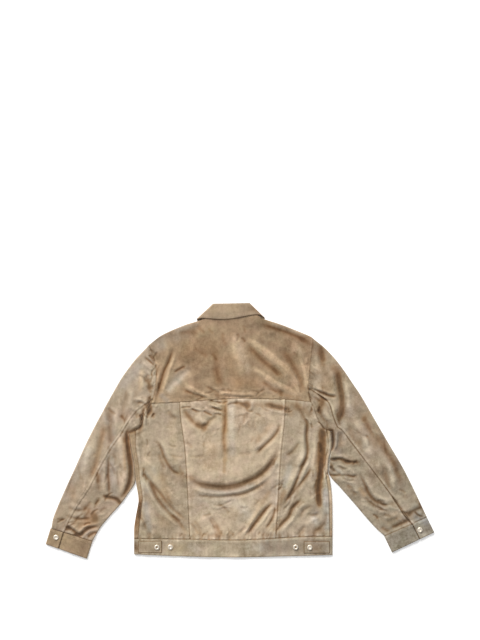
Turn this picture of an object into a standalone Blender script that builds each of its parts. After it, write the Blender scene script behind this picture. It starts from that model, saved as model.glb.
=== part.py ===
"""A suede trucker jacket laid flat on its front, back upwards, sleeves out to both sides.

Lengths are in millimetres up to the last step, which writes metres. +X is the wearer's right, +Y runs to
the neck and +Z up. Z is 0 at the surface that the jacket lies on, and X and Y are 0 at mid body.

Each cloth piece is an open grid with Solidify. The grid is a patch between four plan lines, and it goes
round a fold edge where the piece does: the upper side follows top_height and the lower side lies flat.
"""

from typing import NamedTuple

import bmesh
import bpy
import numpy as np

MM = 0.001
CLOTH = 1.4  # wall of one suede panel
BAND_CLOTH = 2.0  # waistband and cuffs, two plies pressed together
COLLAR_CLOTH = 1.5
SEAM_INSET = 0.16  # each side of a seam gives this much
SLEEVE_INSET = 0.3  # and each side of a sleeve's seams, which run over a crown
ARMHOLE_INSET = 0.5  # the armhole is cut by unlike grids, so it gives more
CORNER_INSET = 0.7  # where two fold edges meet under the arm
FOLD_RADIUS = 3.6  # how round the cloth goes at a fold edge, in plan

BODY_HEIGHT = 7.0  # top of the back over the surface, with no fold
LEAST_HEIGHT = 3.7  # lowest the top may sink, onto the layer below
CLOSURE_LIFT = 2.0  # right front over left front at the centre
CLOSURE_HALF = 20.0
COLLAR_LIFT = 1.9  # fronts over the collar's wings
BAND_TOP = 6.7
CUFF_TOP = 7.0
SHOULDER_GAP = 1.1  # each side of a seam that lies on a fold edge

SNAP_STEPS = 14
SNAP_PROFILE = ((0, 2.0), (3.4, 2.0), (4.3, 2.9), (5.7, 3.1), (7.0, 2.3), (7.4, 1.1), (7.0, 0), (0, 0))

SUEDE = ((0.381, 0.292, 0.204), 0.9, 0.0)
SUEDE_BAND = ((0.451, 0.371, 0.266), 0.9, 0.0)
SNAP_METAL = ((0.72, 0.67, 0.58), 0.28, 1.0)


# ---------------------------------------------------------------- plan lines


class Line:
    """A plan line through a few points: smooth inside each run, with a corner where one run meets the next."""

    STEPS = 20

    def __init__(self, *runs):
        line = np.vstack([self.smooth(np.array(run, float)) for run in runs])
        apart = np.linalg.norm(np.diff(line, axis=0), axis=1) > 1e-6
        self.points = line[np.r_[True, apart]]
        self.reach = np.r_[0, np.cumsum(np.linalg.norm(np.diff(self.points, axis=0), axis=1))]
        self.length = self.reach[-1]

    @classmethod
    def smooth(cls, points):
        """A Catmull-Rom curve through the points."""
        if len(points) == 2:
            return points
        padded = np.vstack([2 * points[0] - points[1], points, 2 * points[-1] - points[-2]])
        t = np.linspace(0, 1, cls.STEPS)[:, None]
        spans = []
        for a, b, c, d in zip(padded, padded[1:], padded[2:], padded[3:]):
            spans.append(0.5 * (2 * b + (c - a) * t + (2 * a - 5 * b + 4 * c - d) * t**2 + (3 * b - a - 3 * c + d) * t**3))
        return np.vstack(spans)

    def at(self, share):
        """Points at these shares of the length."""
        reach = np.asarray(share) * self.length
        return np.stack([np.interp(reach, self.reach, self.points[:, k]) for k in (0, 1)], axis=-1)

    def share_near(self, point):
        gaps = np.linalg.norm(self.points - point, axis=1)
        return self.reach[gaps.argmin()] / self.length

    def between(self, start, end, steps=120):
        """The stretch from one share to another, which may run backwards."""
        points = self.at(np.linspace(start, end, steps))
        return Line(*zip(points, points[1:]))

    def shifted(self, distance):
        """The same line moved sideways, to the right of its run where the distance is positive."""
        run = np.gradient(self.points, axis=0)
        run = run / np.linalg.norm(run, axis=1)[:, None]
        points = self.points + distance * np.stack([run[:, 1], -run[:, 0]], axis=1)
        return Line(*zip(points, points[1:]))


def nearest(places, line):
    """How far each place is from a plan line, and the share of the line's length nearest to it."""
    start, step = line.points[:-1], np.diff(line.points, axis=0)
    span = np.linalg.norm(step, axis=1)
    offset = places[:, None, :] - start[None]
    along = np.clip((offset * step).sum(axis=2) / span**2, 0, 1)
    gaps = np.linalg.norm(offset - along[..., None] * step, axis=2)
    best = gaps.argmin(axis=1)
    rows = np.arange(len(places))
    return gaps[rows, best], (line.reach[best] + along[rows, best] * span[best]) / line.length


# ---------------------------------------------------------------- the cut of each half


class Half(NamedTuple):
    """Driving points of one half of the jacket, the wearer's left at -X and right at +X."""

    shoulder: tuple  # neck point to shoulder point
    armhole: tuple  # shoulder point to underarm
    side_edge: tuple  # fold edge of the body, underarm to waist seam
    side_seam: tuple  # armhole to waist seam, on the back
    princess: tuple  # yoke seam to waist seam
    sleeve_outer: tuple  # fold edge, shoulder point to cuff
    sleeve_inner: tuple  # fold edge, underarm to cuff
    elbow_seam: tuple  # armhole to cuff slit
    yoke_end: tuple  # yoke seam at the armhole
    front_seam: tuple  # beside the underarm to the cuff, on the lower side
    cuff_top: tuple  # outer and inner corner
    cuff_hem: tuple
    slit_share: float  # of the way from the outer corner to the inner one
    hem_corner: tuple
    cuff_snap: tuple
    tab: tuple  # outer x, inner x, upper y, lower y
    tab_snap: tuple
    band_snap: tuple
    collar_side: tuple  # fold line end, free edge corner
    collar_point: tuple


LEFT = Half(
    shoulder=((-86, 297), (-100, 292.5), (-127, 284.5), (-165, 269), (-197, 253), (-227, 229.5)),
    armhole=(
        (-227, 229.5), (-216, 200), (-208, 173), (-206.5, 140), (-210.5, 108), (-220, 75.6),
        (-231, 57), (-239, 38), (-247, 15), (-262, 0), (-281.5, -8.3),
    ),
    side_edge=(
        (-280.4, -8), (-275, -46), (-267, -89), (-262, -138), (-255, -184), (-257, -205),
        (-262, -232), (-266.5, -262), (-267, -293),
    ),
    side_seam=((-262, 0), (-262, -46), (-255, -89), (-250, -138), (-244, -184), (-249, -225), (-256, -293)),
    princess=((-144, 75.6), (-140, 27), (-128.5, -59), (-121.5, -180), (-116, -294.5)),
    sleeve_outer=(
        (-227, 229.5), (-264, 190), (-289, 157), (-310, 125), (-364, 27), (-397, -38),
        (-426, -102), (-456, -167), (-483, -232), (-490, -264),
    ),
    sleeve_inner=(
        (-283.4, -9), (-277.5, -46), (-269.7, -89), (-264.8, -132), (-267, -148), (-281, -169),
        (-301, -197), (-332, -232), (-359, -265), (-379, -300),
    ),
    elbow_seam=(
        (-217, 85), (-236, 71), (-262, 50), (-281, 24), (-302, -11), (-329, -49), (-355, -94),
        (-389, -159), (-418, -202), (-441, -242), (-455.6, -275.2),
    ),
    yoke_end=(-221, 72),
    front_seam=(
        (-293, -11), (-295, -30), (-296, -58), (-293, -100), (-292, -135),
        (-302, -162), (-323, -196), (-352, -231), (-378, -262), (-401, -292.9),
    ),
    cuff_top=((-490, -264), (-379, -300)),
    cuff_hem=((-504, -307), (-394, -347)),
    slit_share=0.31,
    hem_corner=(-267, -335),
    cuff_snap=(-477, -289),
    tab=(-256, -192, -298, -331),
    tab_snap=(-205, -315.5),
    band_snap=(-169, -315.5),
    collar_side=((-54, 341), (-98, 300)),
    collar_point=(-74, 214),
)

RIGHT = Half(
    shoulder=((78, 301), (94, 296), (130, 284.5), (170, 269), (208, 253), (216, 247)),
    armhole=(
        (216, 247), (212, 205), (206.5, 162), (204, 121.5), (206.5, 86.5), (217, 59.5),
        (229.5, 27), (243, 8), (252, 1.5), (265.5, -3.2),
    ),
    side_edge=(
        (264, -4), (267, -38), (263.5, -59), (259, -77), (257, -111), (262, -135),
        (266, -165), (268, -200), (268.5, -250), (268.5, -287),
    ),
    side_seam=((252, 1.5), (257.5, -38), (251, -74), (248.5, -111), (253.5, -135), (258.5, -184), (260.5, -287)),
    princess=((142, 83.5), (137, 13.5), (129, -63.5), (122, -172), (115, -292)),
    sleeve_outer=(
        (216, 247), (248, 221), (278, 189), (302, 157), (324, 124), (345.6, 92), (383, 27),
        (421, -38), (459, -103), (491, -167), (523, -235),
    ),
    sleeve_inner=(
        (267.4, -2.2), (273.8, -12.4), (277.5, -32), (268.2, -64), (262.3, -83), (260.4, -100),
        (262.5, -118), (272, -135), (284, -148), (300, -167), (329, -200), (356, -232), (386, -265), (411, -287),
    ),
    elbow_seam=(
        (206, 113), (238, 92), (259, 73), (270, 40), (281, 11), (296, -2), (321, -35),
        (354, -78), (427, -175), (459, -225), (483.8, -253.2),
    ),
    yoke_end=(208, 78),
    front_seam=(
        (277, 2), (289, -10), (297, -36), (294, -64), (287, -90), (288, -112),
        (304, -138), (330, -168), (362, -204), (398, -242), (433.4, -276.6),
    ),
    cuff_top=((523, -235), (411, -287)),
    cuff_hem=((543, -275.4), (432, -330)),
    slit_share=0.35,
    hem_corner=(268.5, -337),
    cuff_snap=(504, -269),
    tab=(261, 191, -299, -332),
    tab_snap=(207, -316),
    band_snap=(169, -315.5),
    collar_side=((45, 343), (86, 303)),
    collar_point=(72, 218),
)

HALVES = {"left": LEFT, "right": RIGHT}

YOKE_SEAM = Line((LEFT.yoke_end, (-144, 75.6), (-8, 85), (142, 83.5), (194, 79), RIGHT.yoke_end))
NECK_SEAM = Line(((-86, 297), (-62, 304), (0, 309), (45, 313.5), (64, 311), (78, 301)))
COLLAR_EDGE = Line((LEFT.collar_side[1], (-80, 302), (-39, 299), (-1, 301), (47, 310), (72, 311), RIGHT.collar_side[1]))
WAIST_SEAM = Line(((-268, -293), (-116, -294.5), (8, -297), (115, -292), (190, -287.5), (269, -287)))
HEM = Line((LEFT.hem_corner, (-120, -341), (20, -343), (150, -340), RIGHT.hem_corner))
FRONT_NECK = (0, 234)  # lowest point of the front neckline
FRONT_WAIST_Y = -297
OVERLAP_STEPS = (44.0, 66.0)  # from the closing edge: the overlap's full lift, and its foot
COLLAR_CLOSE = (0, 266)  # where the collar's fold lines meet at the front
BAND_SIDE = {"left": -256.0, "right": 261.0}  # the waistband's own side seams, on the back


# ---------------------------------------------------------------- folds


class Fold(NamedTuple):
    """A soft ridge, or a trough where its height is negative, that fades out at both ends."""

    height: float
    half_width: float
    path: tuple


FOLDS = (
    # crowns of the sleeves
    Fold(3.6, 46, ((-250, 130), (-300, 60), (-350, -40), (-400, -140), (-440, -235))),
    Fold(3.6, 46, ((245, 150), (300, 70), (350, -10), (410, -110), (470, -215))),
    # the back panels
    Fold(-3.4, 14, ((-118, -118), (-97, -144), (-62, -151), (-24, -151), (38, -135), (89, -103), (122, -51))),
    Fold(3.6, 14, ((-114, -156), (-62, -176), (-10, -175), (50, -157), (104, -120))),
    Fold(2.4, 22, ((-100, -108), (-40, -118), (30, -104), (80, -66))),
    Fold(-2.2, 15, ((124, 30), (110, -10), (90, -35), (60, -66))),
    Fold(2.0, 16, ((96, 34), (78, 0), (50, -32))),
    Fold(-2.0, 14, ((-135, 62), (-119, 34), (-98, 10), (-79, -5), (-58, 26))),
    Fold(-2.6, 14, ((-248, -108), (-219, -159), (-177, -221), (-119, -285))),
    Fold(2.8, 15, ((-244, -160), (-216, -205), (-180, -252), (-160, -280))),
    Fold(2.2, 16, ((-196, -20), (-166, -56), (-138, -100))),
    Fold(-2.4, 14, ((97, -190), (81, -219), (64, -250), (38, -286))),
    Fold(2.6, 14, ((78, -182), (56, -216), (38, -245), (14, -275))),
    Fold(-3.0, 13, ((202, 36), (198, -13), (202, -65), (181, -119), (148, -184), (128, -215))),
    Fold(2.6, 14, ((176, 34), (172, -20), (174, -66), (154, -112), (128, -150))),
    Fold(-3.0, 14, ((239, -8), (239, -67), (229, -135), (226, -165), (234, -214))),
    Fold(-2.2, 14, ((192, -184), (162, -209), (150, -237), (115, -275))),
    Fold(2.4, 14, ((224, -196), (192, -216), (180, -240), (150, -272))),
    # the yoke
    Fold(-2.6, 13, ((-156, 228), (-178, 186), (-196, 140), (-206, 90))),
    Fold(2.8, 14, ((-136, 224), (-152, 186), (-166, 144), (-182, 95))),
    Fold(2.0, 20, ((-2, 246), (10, 205), (32, 158))),
    Fold(2.8, 14, ((46, 248), (88, 214), (130, 178), (154, 150), (184, 94))),
    Fold(-2.0, 13, ((70, 200), (110, 166), (138, 132), (156, 98))),
    Fold(2.4, 13, ((172, 234), (184, 200), (194, 165), (199, 100))),
    # the wearer's left sleeve
    Fold(-2.8, 13, ((-296, 0), (-294, -42), (-290, -90), (-290, -135), (-308, -186))),
    Fold(-2.6, 15, ((-346, 20), (-354, -24), (-366, -70), (-384, -143))),
    Fold(2.4, 15, ((-374, -10), (-388, -60), (-402, -105))),
    # the wearer's right sleeve
    Fold(-4.0, 17, ((282, 160), (292, 108), (294, 57), (288, 26))),
    Fold(2.4, 15, ((258, 150), (262, 120), (254, 96))),
    Fold(-2.4, 13, ((266, -74), (290, -80), (320, -86))),
    Fold(-2.4, 14, ((300, -146), (350, -170), (392, -196), (430, -210))),
    Fold(2.4, 15, ((322, -120), (366, -142), (404, -164))),
)
FADE = 0.22  # share of a fold's length over which each end fades
REACH = 2.6  # half widths beyond which a fold adds nothing

COLLAR_SPINES = (Line(((-72, 300), (-48, 242))), Line(((70, 302), (46, 242))))
SPINE_FULL, SPINE_CLEAR = 52.0, 78.0  # the collar's wings lift the fronts inside the first, not past the second

ARMHOLE_ROWS = 6  # cells of the armhole from yoke seam to side seam, on both sides of it
YOKE_ROWS = {"left": 1, "right": 2}  # cells of the under sleeve from its pointed top to the yoke seam
EDGE_ROWS = 14  # rows of a sleeve from the underarm to the cuff
SLEEVE_LOWER_CELLS = 5  # cells of the lower armhole from the shoulder to the turn, on both sides of it
ARMHOLE_TURN = 0.45  # share of the armhole where the lower side's rows begin to end on it
TIP_SHARE = 0.02  # where the under sleeve's pointed top begins


def ease(share):
    share = np.clip(share, 0, 1)
    return share * share * (3 - 2 * share)


def fold_rise(fold, places):
    """Height that one fold adds at each place."""
    line = Line(fold.path)
    low = line.points.min(axis=0) - REACH * fold.half_width
    high = line.points.max(axis=0) + REACH * fold.half_width
    close = ((places > low) & (places < high)).all(axis=1)
    rise = np.zeros(len(places))
    if close.any():
        gap, share = nearest(places[close], line)
        ends = ease(share / FADE) * ease((1 - share) / FADE)
        rise[close] = fold.height * ends * np.exp(-((gap / fold.half_width) ** 2))
    return rise


def wing_lift(places):
    """Share, 0 to 1, of the lift that the collar's wings give the layers over them."""
    gap = np.min([nearest(places, spine)[0] for spine in COLLAR_SPINES], axis=0)
    return ease((SPINE_CLEAR - gap) / (SPINE_CLEAR - SPINE_FULL))


def top_height(places):
    """Height of the upper side: the level of the flat back, and the folds, never sunk into the layer below."""
    rise = BODY_HEIGHT + sum(fold_rise(fold, places) for fold in FOLDS)
    closure = ease((CLOSURE_HALF + 22 - np.abs(places[:, 0])) / 22) * ease((262 - places[:, 1]) / 20)
    least = LEAST_HEIGHT + CLOSURE_LIFT * closure + COLLAR_LIFT * wing_lift(places)
    softness = 0.7
    return least + softness * np.logaddexp(0, (rise - least) / softness)


def under_height(places, side):
    """Height of the lower side's outer face, which is flat but for what lies beneath it."""
    if side == "left":
        return COLLAR_LIFT * wing_lift(places)
    closure = ease((CLOSURE_HALF + 26 - places[:, 0]) / 18)
    return COLLAR_LIFT * wing_lift(places) + CLOSURE_LIFT * closure


def rolled(height, gap, middle=BODY_HEIGHT / 2, radius=FOLD_RADIUS):
    """The height of a layer that comes round to the middle height at a fold edge this far off."""
    return middle + (height - middle) * rounding(gap, radius)


def rounding(gap, radius=FOLD_RADIUS):
    """Share of its full half height that a layer keeps this far from a fold edge: 0 at the edge, 1 inside."""
    inside = np.clip(gap / radius, 0, 1)
    return np.sqrt(1 - (1 - inside) ** 2)


# ---------------------------------------------------------------- patches and grids


class Patch:
    """A plan surface between four lines: two across, at v 0 and v 1, and two along, at u 0 and u 1."""

    def __init__(self, across_start, across_end, along_start, along_end):
        self.across = across_start, across_end
        self.along = along_start, along_end

    def at(self, u, v, left_share=None, right_share=None):
        """Points at u across and v along. A side's own shares set where on it each row starts or ends."""
        wide, deep = np.asarray(u, float)[..., None], np.asarray(v, float)[..., None]
        start, end = self.across
        left = self.along[0].at(v if left_share is None else left_share)
        right = self.along[1].at(v if right_share is None else right_share)
        first = start.at(u) - (1 - wide) * start.at(0) - wide * start.at(1)
        last = end.at(u) - (1 - wide) * end.at(0) - wide * end.at(1)
        return (1 - wide) * left + wide * right + (1 - deep) * first + deep * last

    def width(self, v, left_share=None, right_share=None):
        v = np.asarray(v, float)
        ends = [self.at(np.full(v.shape, u), v, left_share, right_share) for u in (0.0, 1.0)]
        return np.linalg.norm(ends[1] - ends[0], axis=-1)


BEND = np.radians([0, 40, 90])  # steps round one half of a fold edge


def even(cells, length, start=SEAM_INSET, end=SEAM_INSET):
    """Shares of each row, in even cells between a seam's inset at both ends."""
    length = np.asarray(length, float)[..., None]
    first, last = start / length, 1 - end / length
    return first + (last - first) * np.linspace(0, 1, cells + 1)


def to_edge(cells, length, start=SEAM_INSET, radius=FOLD_RADIUS):
    """Shares of each row from a seam, in even cells and then round the fold to its edge."""
    flat = even(cells, length, start, radius)
    bend = 1 - radius * (1 - np.sin(BEND[1:])) / np.asarray(length, float)[..., None]
    return np.concatenate([flat, bend], axis=-1)


def from_edge(cells, length, end=SEAM_INSET, radius=FOLD_RADIUS):
    return 1 - to_edge(cells, length, end, radius)[..., ::-1]


def edge_to_edge(cells, length, radius=FOLD_RADIUS):
    """Shares of each row between two fold edges, in even cells between the two rounds."""
    length = np.asarray(length, float)[..., None]
    bend = radius * (1 - np.sin(BEND[::-1])) / length
    flat = even(cells, length[..., 0], radius, radius)
    return np.concatenate([bend[..., :-1], flat, 1 - bend[..., -2::-1]], axis=-1)


def in_runs(stops, cells):
    """Shares through these stops, with this many even cells between each two."""
    runs = [np.linspace(a, b, n + 1)[1:] for a, b, n in zip(stops, stops[1:], cells)]
    return np.concatenate([[stops[0]], *runs])


def heights(rule, plan):
    return rule(plan.reshape(-1, 2)).reshape(plan.shape[:-1])


def edge_gaps(plan, *edges):
    """Distance of each grid point to the nearest of these fold edges."""
    places = plan.reshape(-1, 2)
    return np.min([nearest(places, edge)[0] for edge in edges], axis=0).reshape(plan.shape[:-1])


# ---------------------------------------------------------------- objects


def new_material(name, colour, roughness, metallic):
    material = bpy.data.materials.new(name)
    material.use_nodes = True
    shader = material.node_tree.nodes["Principled BSDF"]
    shader.inputs["Base Color"].default_value = (*colour, 1)
    shader.inputs["Roughness"].default_value = roughness
    shader.inputs["Metallic"].default_value = metallic
    return material


def add_object(name, mesh, finish):
    obj = bpy.data.objects.new(name, mesh)
    bpy.data.collections["suede_jacket"].objects.link(obj)
    mesh.materials.append(new_material(name, *finish))
    return obj


def cloth(name, plan, height, lower, wall=CLOTH, finish=SUEDE, leave_out=None):
    """One cloth piece: a grid at these places and heights, faced outwards, with a wall on its inner side.

    lower says for each column whether it lies on the garment's lower side, where outwards is down, and
    leave_out(row, column) names grid cells that the piece doesn't have.
    """
    rows, columns = height.shape
    bm = bmesh.new()
    bmesh.ops.create_grid(bm, x_segments=columns - 1, y_segments=rows - 1, size=1)
    bm.verts.ensure_lookup_table()
    for vert, place, z in zip(bm.verts, plan.reshape(-1, 2), height.reshape(-1)):
        vert.co = (place[0] * MM, place[1] * MM, z * MM)
    bm.normal_update()
    facing, unwanted = 0.0, []
    for face in bm.faces:
        row, column = divmod(min(vert.index for vert in face.verts), columns)
        facing += face.normal.z * face.calc_area() * (-1 if lower[column] else 1)
        if leave_out and leave_out(row, column):
            unwanted.append(face)
    if facing < 0:
        bmesh.ops.reverse_faces(bm, faces=bm.faces)
    bmesh.ops.delete(bm, geom=unwanted, context="FACES")
    mesh = bpy.data.meshes.new(name)
    bm.to_mesh(mesh)
    bm.free()
    mesh.shade_smooth()
    obj = add_object(name, mesh, finish)
    shell = obj.modifiers.new("Wall", "SOLIDIFY")
    shell.thickness = wall * MM
    shell.offset = -1
    shell.use_even_offset = False
    return obj


# ---------------------------------------------------------------- the body


def make_yoke():
    """The back yoke, from the yoke seam to the neck seam and to both shoulder seams on the fold edge."""
    shoulder_cells, neck_cells, rows = 8, 8, 8
    shoulders = {side: Line(half.shoulder) for side, half in HALVES.items()}
    armholes = {side: Line(half.armhole) for side, half in HALVES.items()}
    sides = [armholes[side].between(armholes[side].share_near(HALVES[side].yoke_end), 0) for side in HALVES]
    top = Line(LEFT.shoulder[::-1], NECK_SEAM.points, RIGHT.shoulder)
    neck = [top.share_near(HALVES[side].shoulder[0]) for side in HALVES]
    inset = ARMHOLE_INSET / YOKE_SEAM.length
    u = in_runs((inset, *neck, 1 - inset), (shoulder_cells, neck_cells, shoulder_cells))
    v = to_edge(rows, 190.0)
    plan = Patch(YOKE_SEAM, top, *sides).at(u[None, :], v[:, None])
    gap = edge_gaps(plan, *shoulders.values())
    height = rolled(heights(top_height, plan), gap) + SHOULDER_GAP * (1 - rounding(gap))
    cloth("yoke", plan, height, [False] * len(u))


def make_back_centre():
    columns, rows = 15, 19
    left, right = Line(LEFT.princess), Line(RIGHT.princess)
    yoke = YOKE_SEAM.between(YOKE_SEAM.share_near(LEFT.princess[0]), YOKE_SEAM.share_near(RIGHT.princess[0]))
    waist = WAIST_SEAM.between(WAIST_SEAM.share_near(LEFT.princess[-1]), WAIST_SEAM.share_near(RIGHT.princess[-1]))
    patch = Patch(yoke, waist, left, right)
    v = even(rows, left.length)
    plan = patch.at(even(columns, patch.width(v)), v[:, None])
    cloth("back_centre", plan, heights(top_height, plan), [False] * columns)


def make_back_side(side):
    """The back's side panel, from the princess seam out to the armhole and, below it, to the side seam."""
    columns, side_rows = 7, 13
    half = HALVES[side]
    armhole, side_seam = Line(half.armhole), Line(half.side_seam)
    upper = armhole.between(armhole.share_near(half.yoke_end), armhole.share_near(half.side_seam[0]))
    outer = Line(upper.points, side_seam.points)
    inner = Line(half.princess)
    yoke = YOKE_SEAM.between(YOKE_SEAM.share_near(half.yoke_end), YOKE_SEAM.share_near(half.princess[0]))
    waist = WAIST_SEAM.between(
        WAIST_SEAM.share_near(half.side_seam[-1]), WAIST_SEAM.share_near(half.princess[-1])
    )
    patch = Patch(yoke, waist, outer, inner)
    inset = SEAM_INSET / inner.length
    v = in_runs((inset, upper.length / outer.length, 1 - inset), (ARMHOLE_ROWS, side_rows))
    plan = patch.at(even(columns, patch.width(v), ARMHOLE_INSET), v[:, None])
    cloth(f"back_side_{side}", plan, heights(top_height, plan), [False] * columns)


class Wrap(NamedTuple):
    """A piece with a main side that runs on past the underarm, and a strip round the fold edge that doesn't."""

    main: Patch  # u 0 at its far seam, u 1 at the fold edge and then the armhole
    strip: Patch  # u 0 at the fold edge, u 1 at its seam
    edge: Line
    main_below: bool
    inset: float  # of the seams at both sides
    steps: tuple = ()  # first stops of the main side, from its far seam
    stops: tuple = ()  # further stops, as shares of its width
    cells: tuple = (3,)  # between the stops
    strip_cells: int = 1
    shoulder: Line = None


def make_wrapped(name, wrap, v, strip_v, free, main_rule, strip_rule):
    """A wrapped piece. free says which rows end on the armhole, where there is no strip."""
    width = wrap.main.width(v)
    bend = FOLD_RADIUS * (1 - np.sin(BEND[1:])) / width[:, None]
    flat = [
        in_runs((wrap.inset / w, *(step / w for step in wrap.steps), *wrap.stops, 1 - FOLD_RADIUS / w), wrap.cells)
        for w in width
    ]
    u = np.concatenate([np.array(flat), 1 - bend], axis=1)
    if wrap.main_below:
        u = u * (1 - np.where(free, ARMHOLE_INSET / width, 0))[:, None]
    main = wrap.main.at(u, v[:, None])
    strip_u = from_edge(wrap.strip_cells, wrap.strip.width(strip_v), wrap.inset)[:, 1:]
    strip = wrap.strip.at(strip_u, strip_v[:, None])
    main_gap = np.where(free[:, None], FOLD_RADIUS, edge_gaps(main, wrap.edge))
    seam_gap = 0.0
    if wrap.shoulder:
        shoulder_gap = edge_gaps(main, wrap.shoulder)
        main_gap = np.minimum(main_gap, shoulder_gap)
        seam_gap = SHOULDER_GAP * (1 - rounding(shoulder_gap))
    main_height = rolled(heights(main_rule, main), main_gap) - seam_gap
    strip_height = rolled(heights(strip_rule, strip), edge_gaps(strip, wrap.edge))
    plan = np.concatenate([main, strip], axis=1)
    height = np.concatenate([main_height, strip_height], axis=1)
    strip_start = main.shape[1] - 1
    below = [(column < strip_start) == wrap.main_below for column in range(plan.shape[1] - 1)]
    cloth(
        name, plan, height, below,
        leave_out=lambda row, column: column >= strip_start and (free[row] or free[row + 1]),
    )


def armhole_rows(side):
    """Rows of a sleeve whose ends lie on the armhole."""
    return YOKE_ROWS[side] + ARMHOLE_ROWS


def make_front(side):
    """A front: a strip on the back out to the fold edge, round it, and the whole lower side to the closure."""
    waist_rows = 13
    half = HALVES[side]
    closure_x = CLOSURE_HALF if side == "left" else -CLOSURE_HALF
    up_edge, up_armhole = Line(half.side_edge).between(1, 0), Line(half.armhole).between(1, 0)
    outer = Line(up_edge.points, up_armhole.points)
    neck_point = half.shoulder[0]
    neckline = (neck_point, (neck_point[0] * 0.72, FRONT_NECK[1] + 21), FRONT_NECK)
    top = Line(((closure_x, FRONT_NECK[1]), FRONT_NECK), neckline[::-1], half.shoulder)
    waist = WAIST_SEAM.between(
        WAIST_SEAM.share_near((closure_x, FRONT_WAIST_Y)), WAIST_SEAM.share_near(half.side_edge[-1])
    )
    lower = Patch(waist, top, Line((waist.at(0), (closure_x, FRONT_NECK[1]))), outer)
    strip = Patch(
        Line((half.side_edge[-1], half.side_seam[-1])),
        Line((half.side_edge[0], half.side_seam[0])),
        up_edge,
        Line(half.side_seam).between(1, 0),
    )
    underarm = (up_edge.length - CORNER_INSET) / outer.length
    turn = 1 - ARMHOLE_TURN * up_armhole.length / outer.length
    v = in_runs(
        (SEAM_INSET / outer.length, underarm, turn, 1 - FOLD_RADIUS / outer.length),
        (waist_rows, armhole_rows(side), SLEEVE_LOWER_CELLS),
    )
    v = np.r_[v, 1 - FOLD_RADIUS * (1 - np.sin(BEND[1:])) / outer.length]
    strip_v = np.clip(v / underarm, 0, 1) * (1 - CORNER_INSET / up_edge.length)
    neck = top.share_near(neck_point)
    wrap = Wrap(
        lower, strip, up_edge, main_below=True, inset=SEAM_INSET,
        steps=OVERLAP_STEPS, stops=(neck,), cells=(2, 1, 3, 5), shoulder=Line(half.shoulder),
    )
    make_wrapped(
        f"front_{side}", wrap, v, strip_v, v > underarm + 1e-6, lambda places: under_height(places, side), top_height
    )


# ---------------------------------------------------------------- the sleeves


class SleeveLines:
    """The plan lines of one sleeve, each from the armhole to the cuff, and the rows that its two pieces share."""

    def __init__(self, side):
        half = HALVES[side]
        self.armhole = Line(half.armhole).shifted(ARMHOLE_INSET if side == "left" else -ARMHOLE_INSET)
        self.outer, self.inner = Line(half.sleeve_outer), Line(half.sleeve_inner)
        self.cuff = Line(half.cuff_top)
        self.elbow_start = self.armhole.share_near(half.elbow_seam[0])
        self.elbow_end = half.slit_share
        self.elbow = Line((self.armhole.at(self.elbow_start), *half.elbow_seam[1:]))
        self.front = Line(half.front_seam)
        self.front_end = self.cuff.share_near(half.front_seam[-1])
        past_armhole = self.armhole.between(self.elbow_start, 1)
        self.bound = Line(past_armhole.points, self.inner.points)
        reach = past_armhole.length / self.bound.length
        stops = [
            (self.armhole.share_near(point) - self.elbow_start) / (1 - self.elbow_start) * reach
            for point in (half.yoke_end, half.side_seam[0])
        ]
        self.underarm = (past_armhole.length + CORNER_INSET) / self.bound.length
        self.rows = in_runs(
            (TIP_SHARE, *stops, self.underarm, 1 - SEAM_INSET / self.bound.length),
            (YOKE_ROWS[side], ARMHOLE_ROWS, 1, EDGE_ROWS),
        )
        corner = CORNER_INSET / self.inner.length
        below = np.clip((self.rows - self.underarm) / (1 - self.underarm), 0, 1)
        self.below_rows = corner + below * (1 - 2 * corner)


def make_outer_sleeve(side):
    """The outer sleeve: from the elbow seam round the outer fold edge to the armhole and the front seam below."""
    upper_cells = 6
    lines = SleeveLines(side)
    upper_patch = Patch(
        lines.armhole.between(lines.elbow_start, 0), lines.cuff.between(lines.elbow_end, 0), lines.elbow, lines.outer
    )
    lower_armhole = lines.armhole.between(ARMHOLE_TURN, 1)
    join = Line((lower_armhole.at(1), lines.front.at(0)))
    bound = Line(lower_armhole.points, join.points, lines.front.points)
    lower_patch = Patch(
        lines.armhole.between(0, ARMHOLE_TURN), lines.cuff.between(0, lines.front_end), lines.outer, bound
    )
    v = np.r_[0, lines.rows[1:]]
    free = armhole_rows(side) + 1
    bound_v = (bound.length - (1 - lines.below_rows) * lines.front.length) / bound.length
    bound_v[:free] = np.linspace(0, 1, free) * lower_armhole.length / bound.length
    upper_u = to_edge(upper_cells, upper_patch.width(v), SLEEVE_INSET)
    upper = upper_patch.at(upper_u, v[:, None])
    lower_width = lower_patch.width(v, right_share=bound_v)
    lower_u = from_edge(SLEEVE_LOWER_CELLS, lower_width, SLEEVE_INSET)
    lower = lower_patch.at(lower_u[:, 1:], v[:, None], right_share=bound_v[:, None])
    plan = np.concatenate([upper, lower], axis=1)
    height = np.concatenate(
        [
            rolled(heights(top_height, upper), edge_gaps(upper, lines.outer)),
            rolled(0.0, edge_gaps(lower, lines.outer)),
        ],
        axis=1,
    )
    below = [column >= upper.shape[1] - 1 for column in range(plan.shape[1] - 1)]
    cloth(f"sleeve_outer_{side}", plan, height, below)


def make_under_sleeve(side):
    """The under sleeve: from the elbow seam to the armhole and, below it, round the inner edge to the front seam."""
    lines = SleeveLines(side)
    tip = Line((lines.elbow.at(0), lines.bound.at(0.01)))
    upper = Patch(tip, lines.cuff.between(lines.elbow_end, 1), lines.elbow, lines.bound)
    lower = Patch(
        Line((lines.inner.at(0), lines.front.at(0))), lines.cuff.between(1, lines.front_end), lines.inner, lines.front
    )
    wrap = Wrap(upper, lower, lines.inner, main_below=False, inset=SLEEVE_INSET)
    make_wrapped(
        f"sleeve_under_{side}", wrap, lines.rows, lines.below_rows, lines.rows < lines.underarm - 1e-6,
        top_height, lambda places: np.zeros(len(places)),
    )


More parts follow.
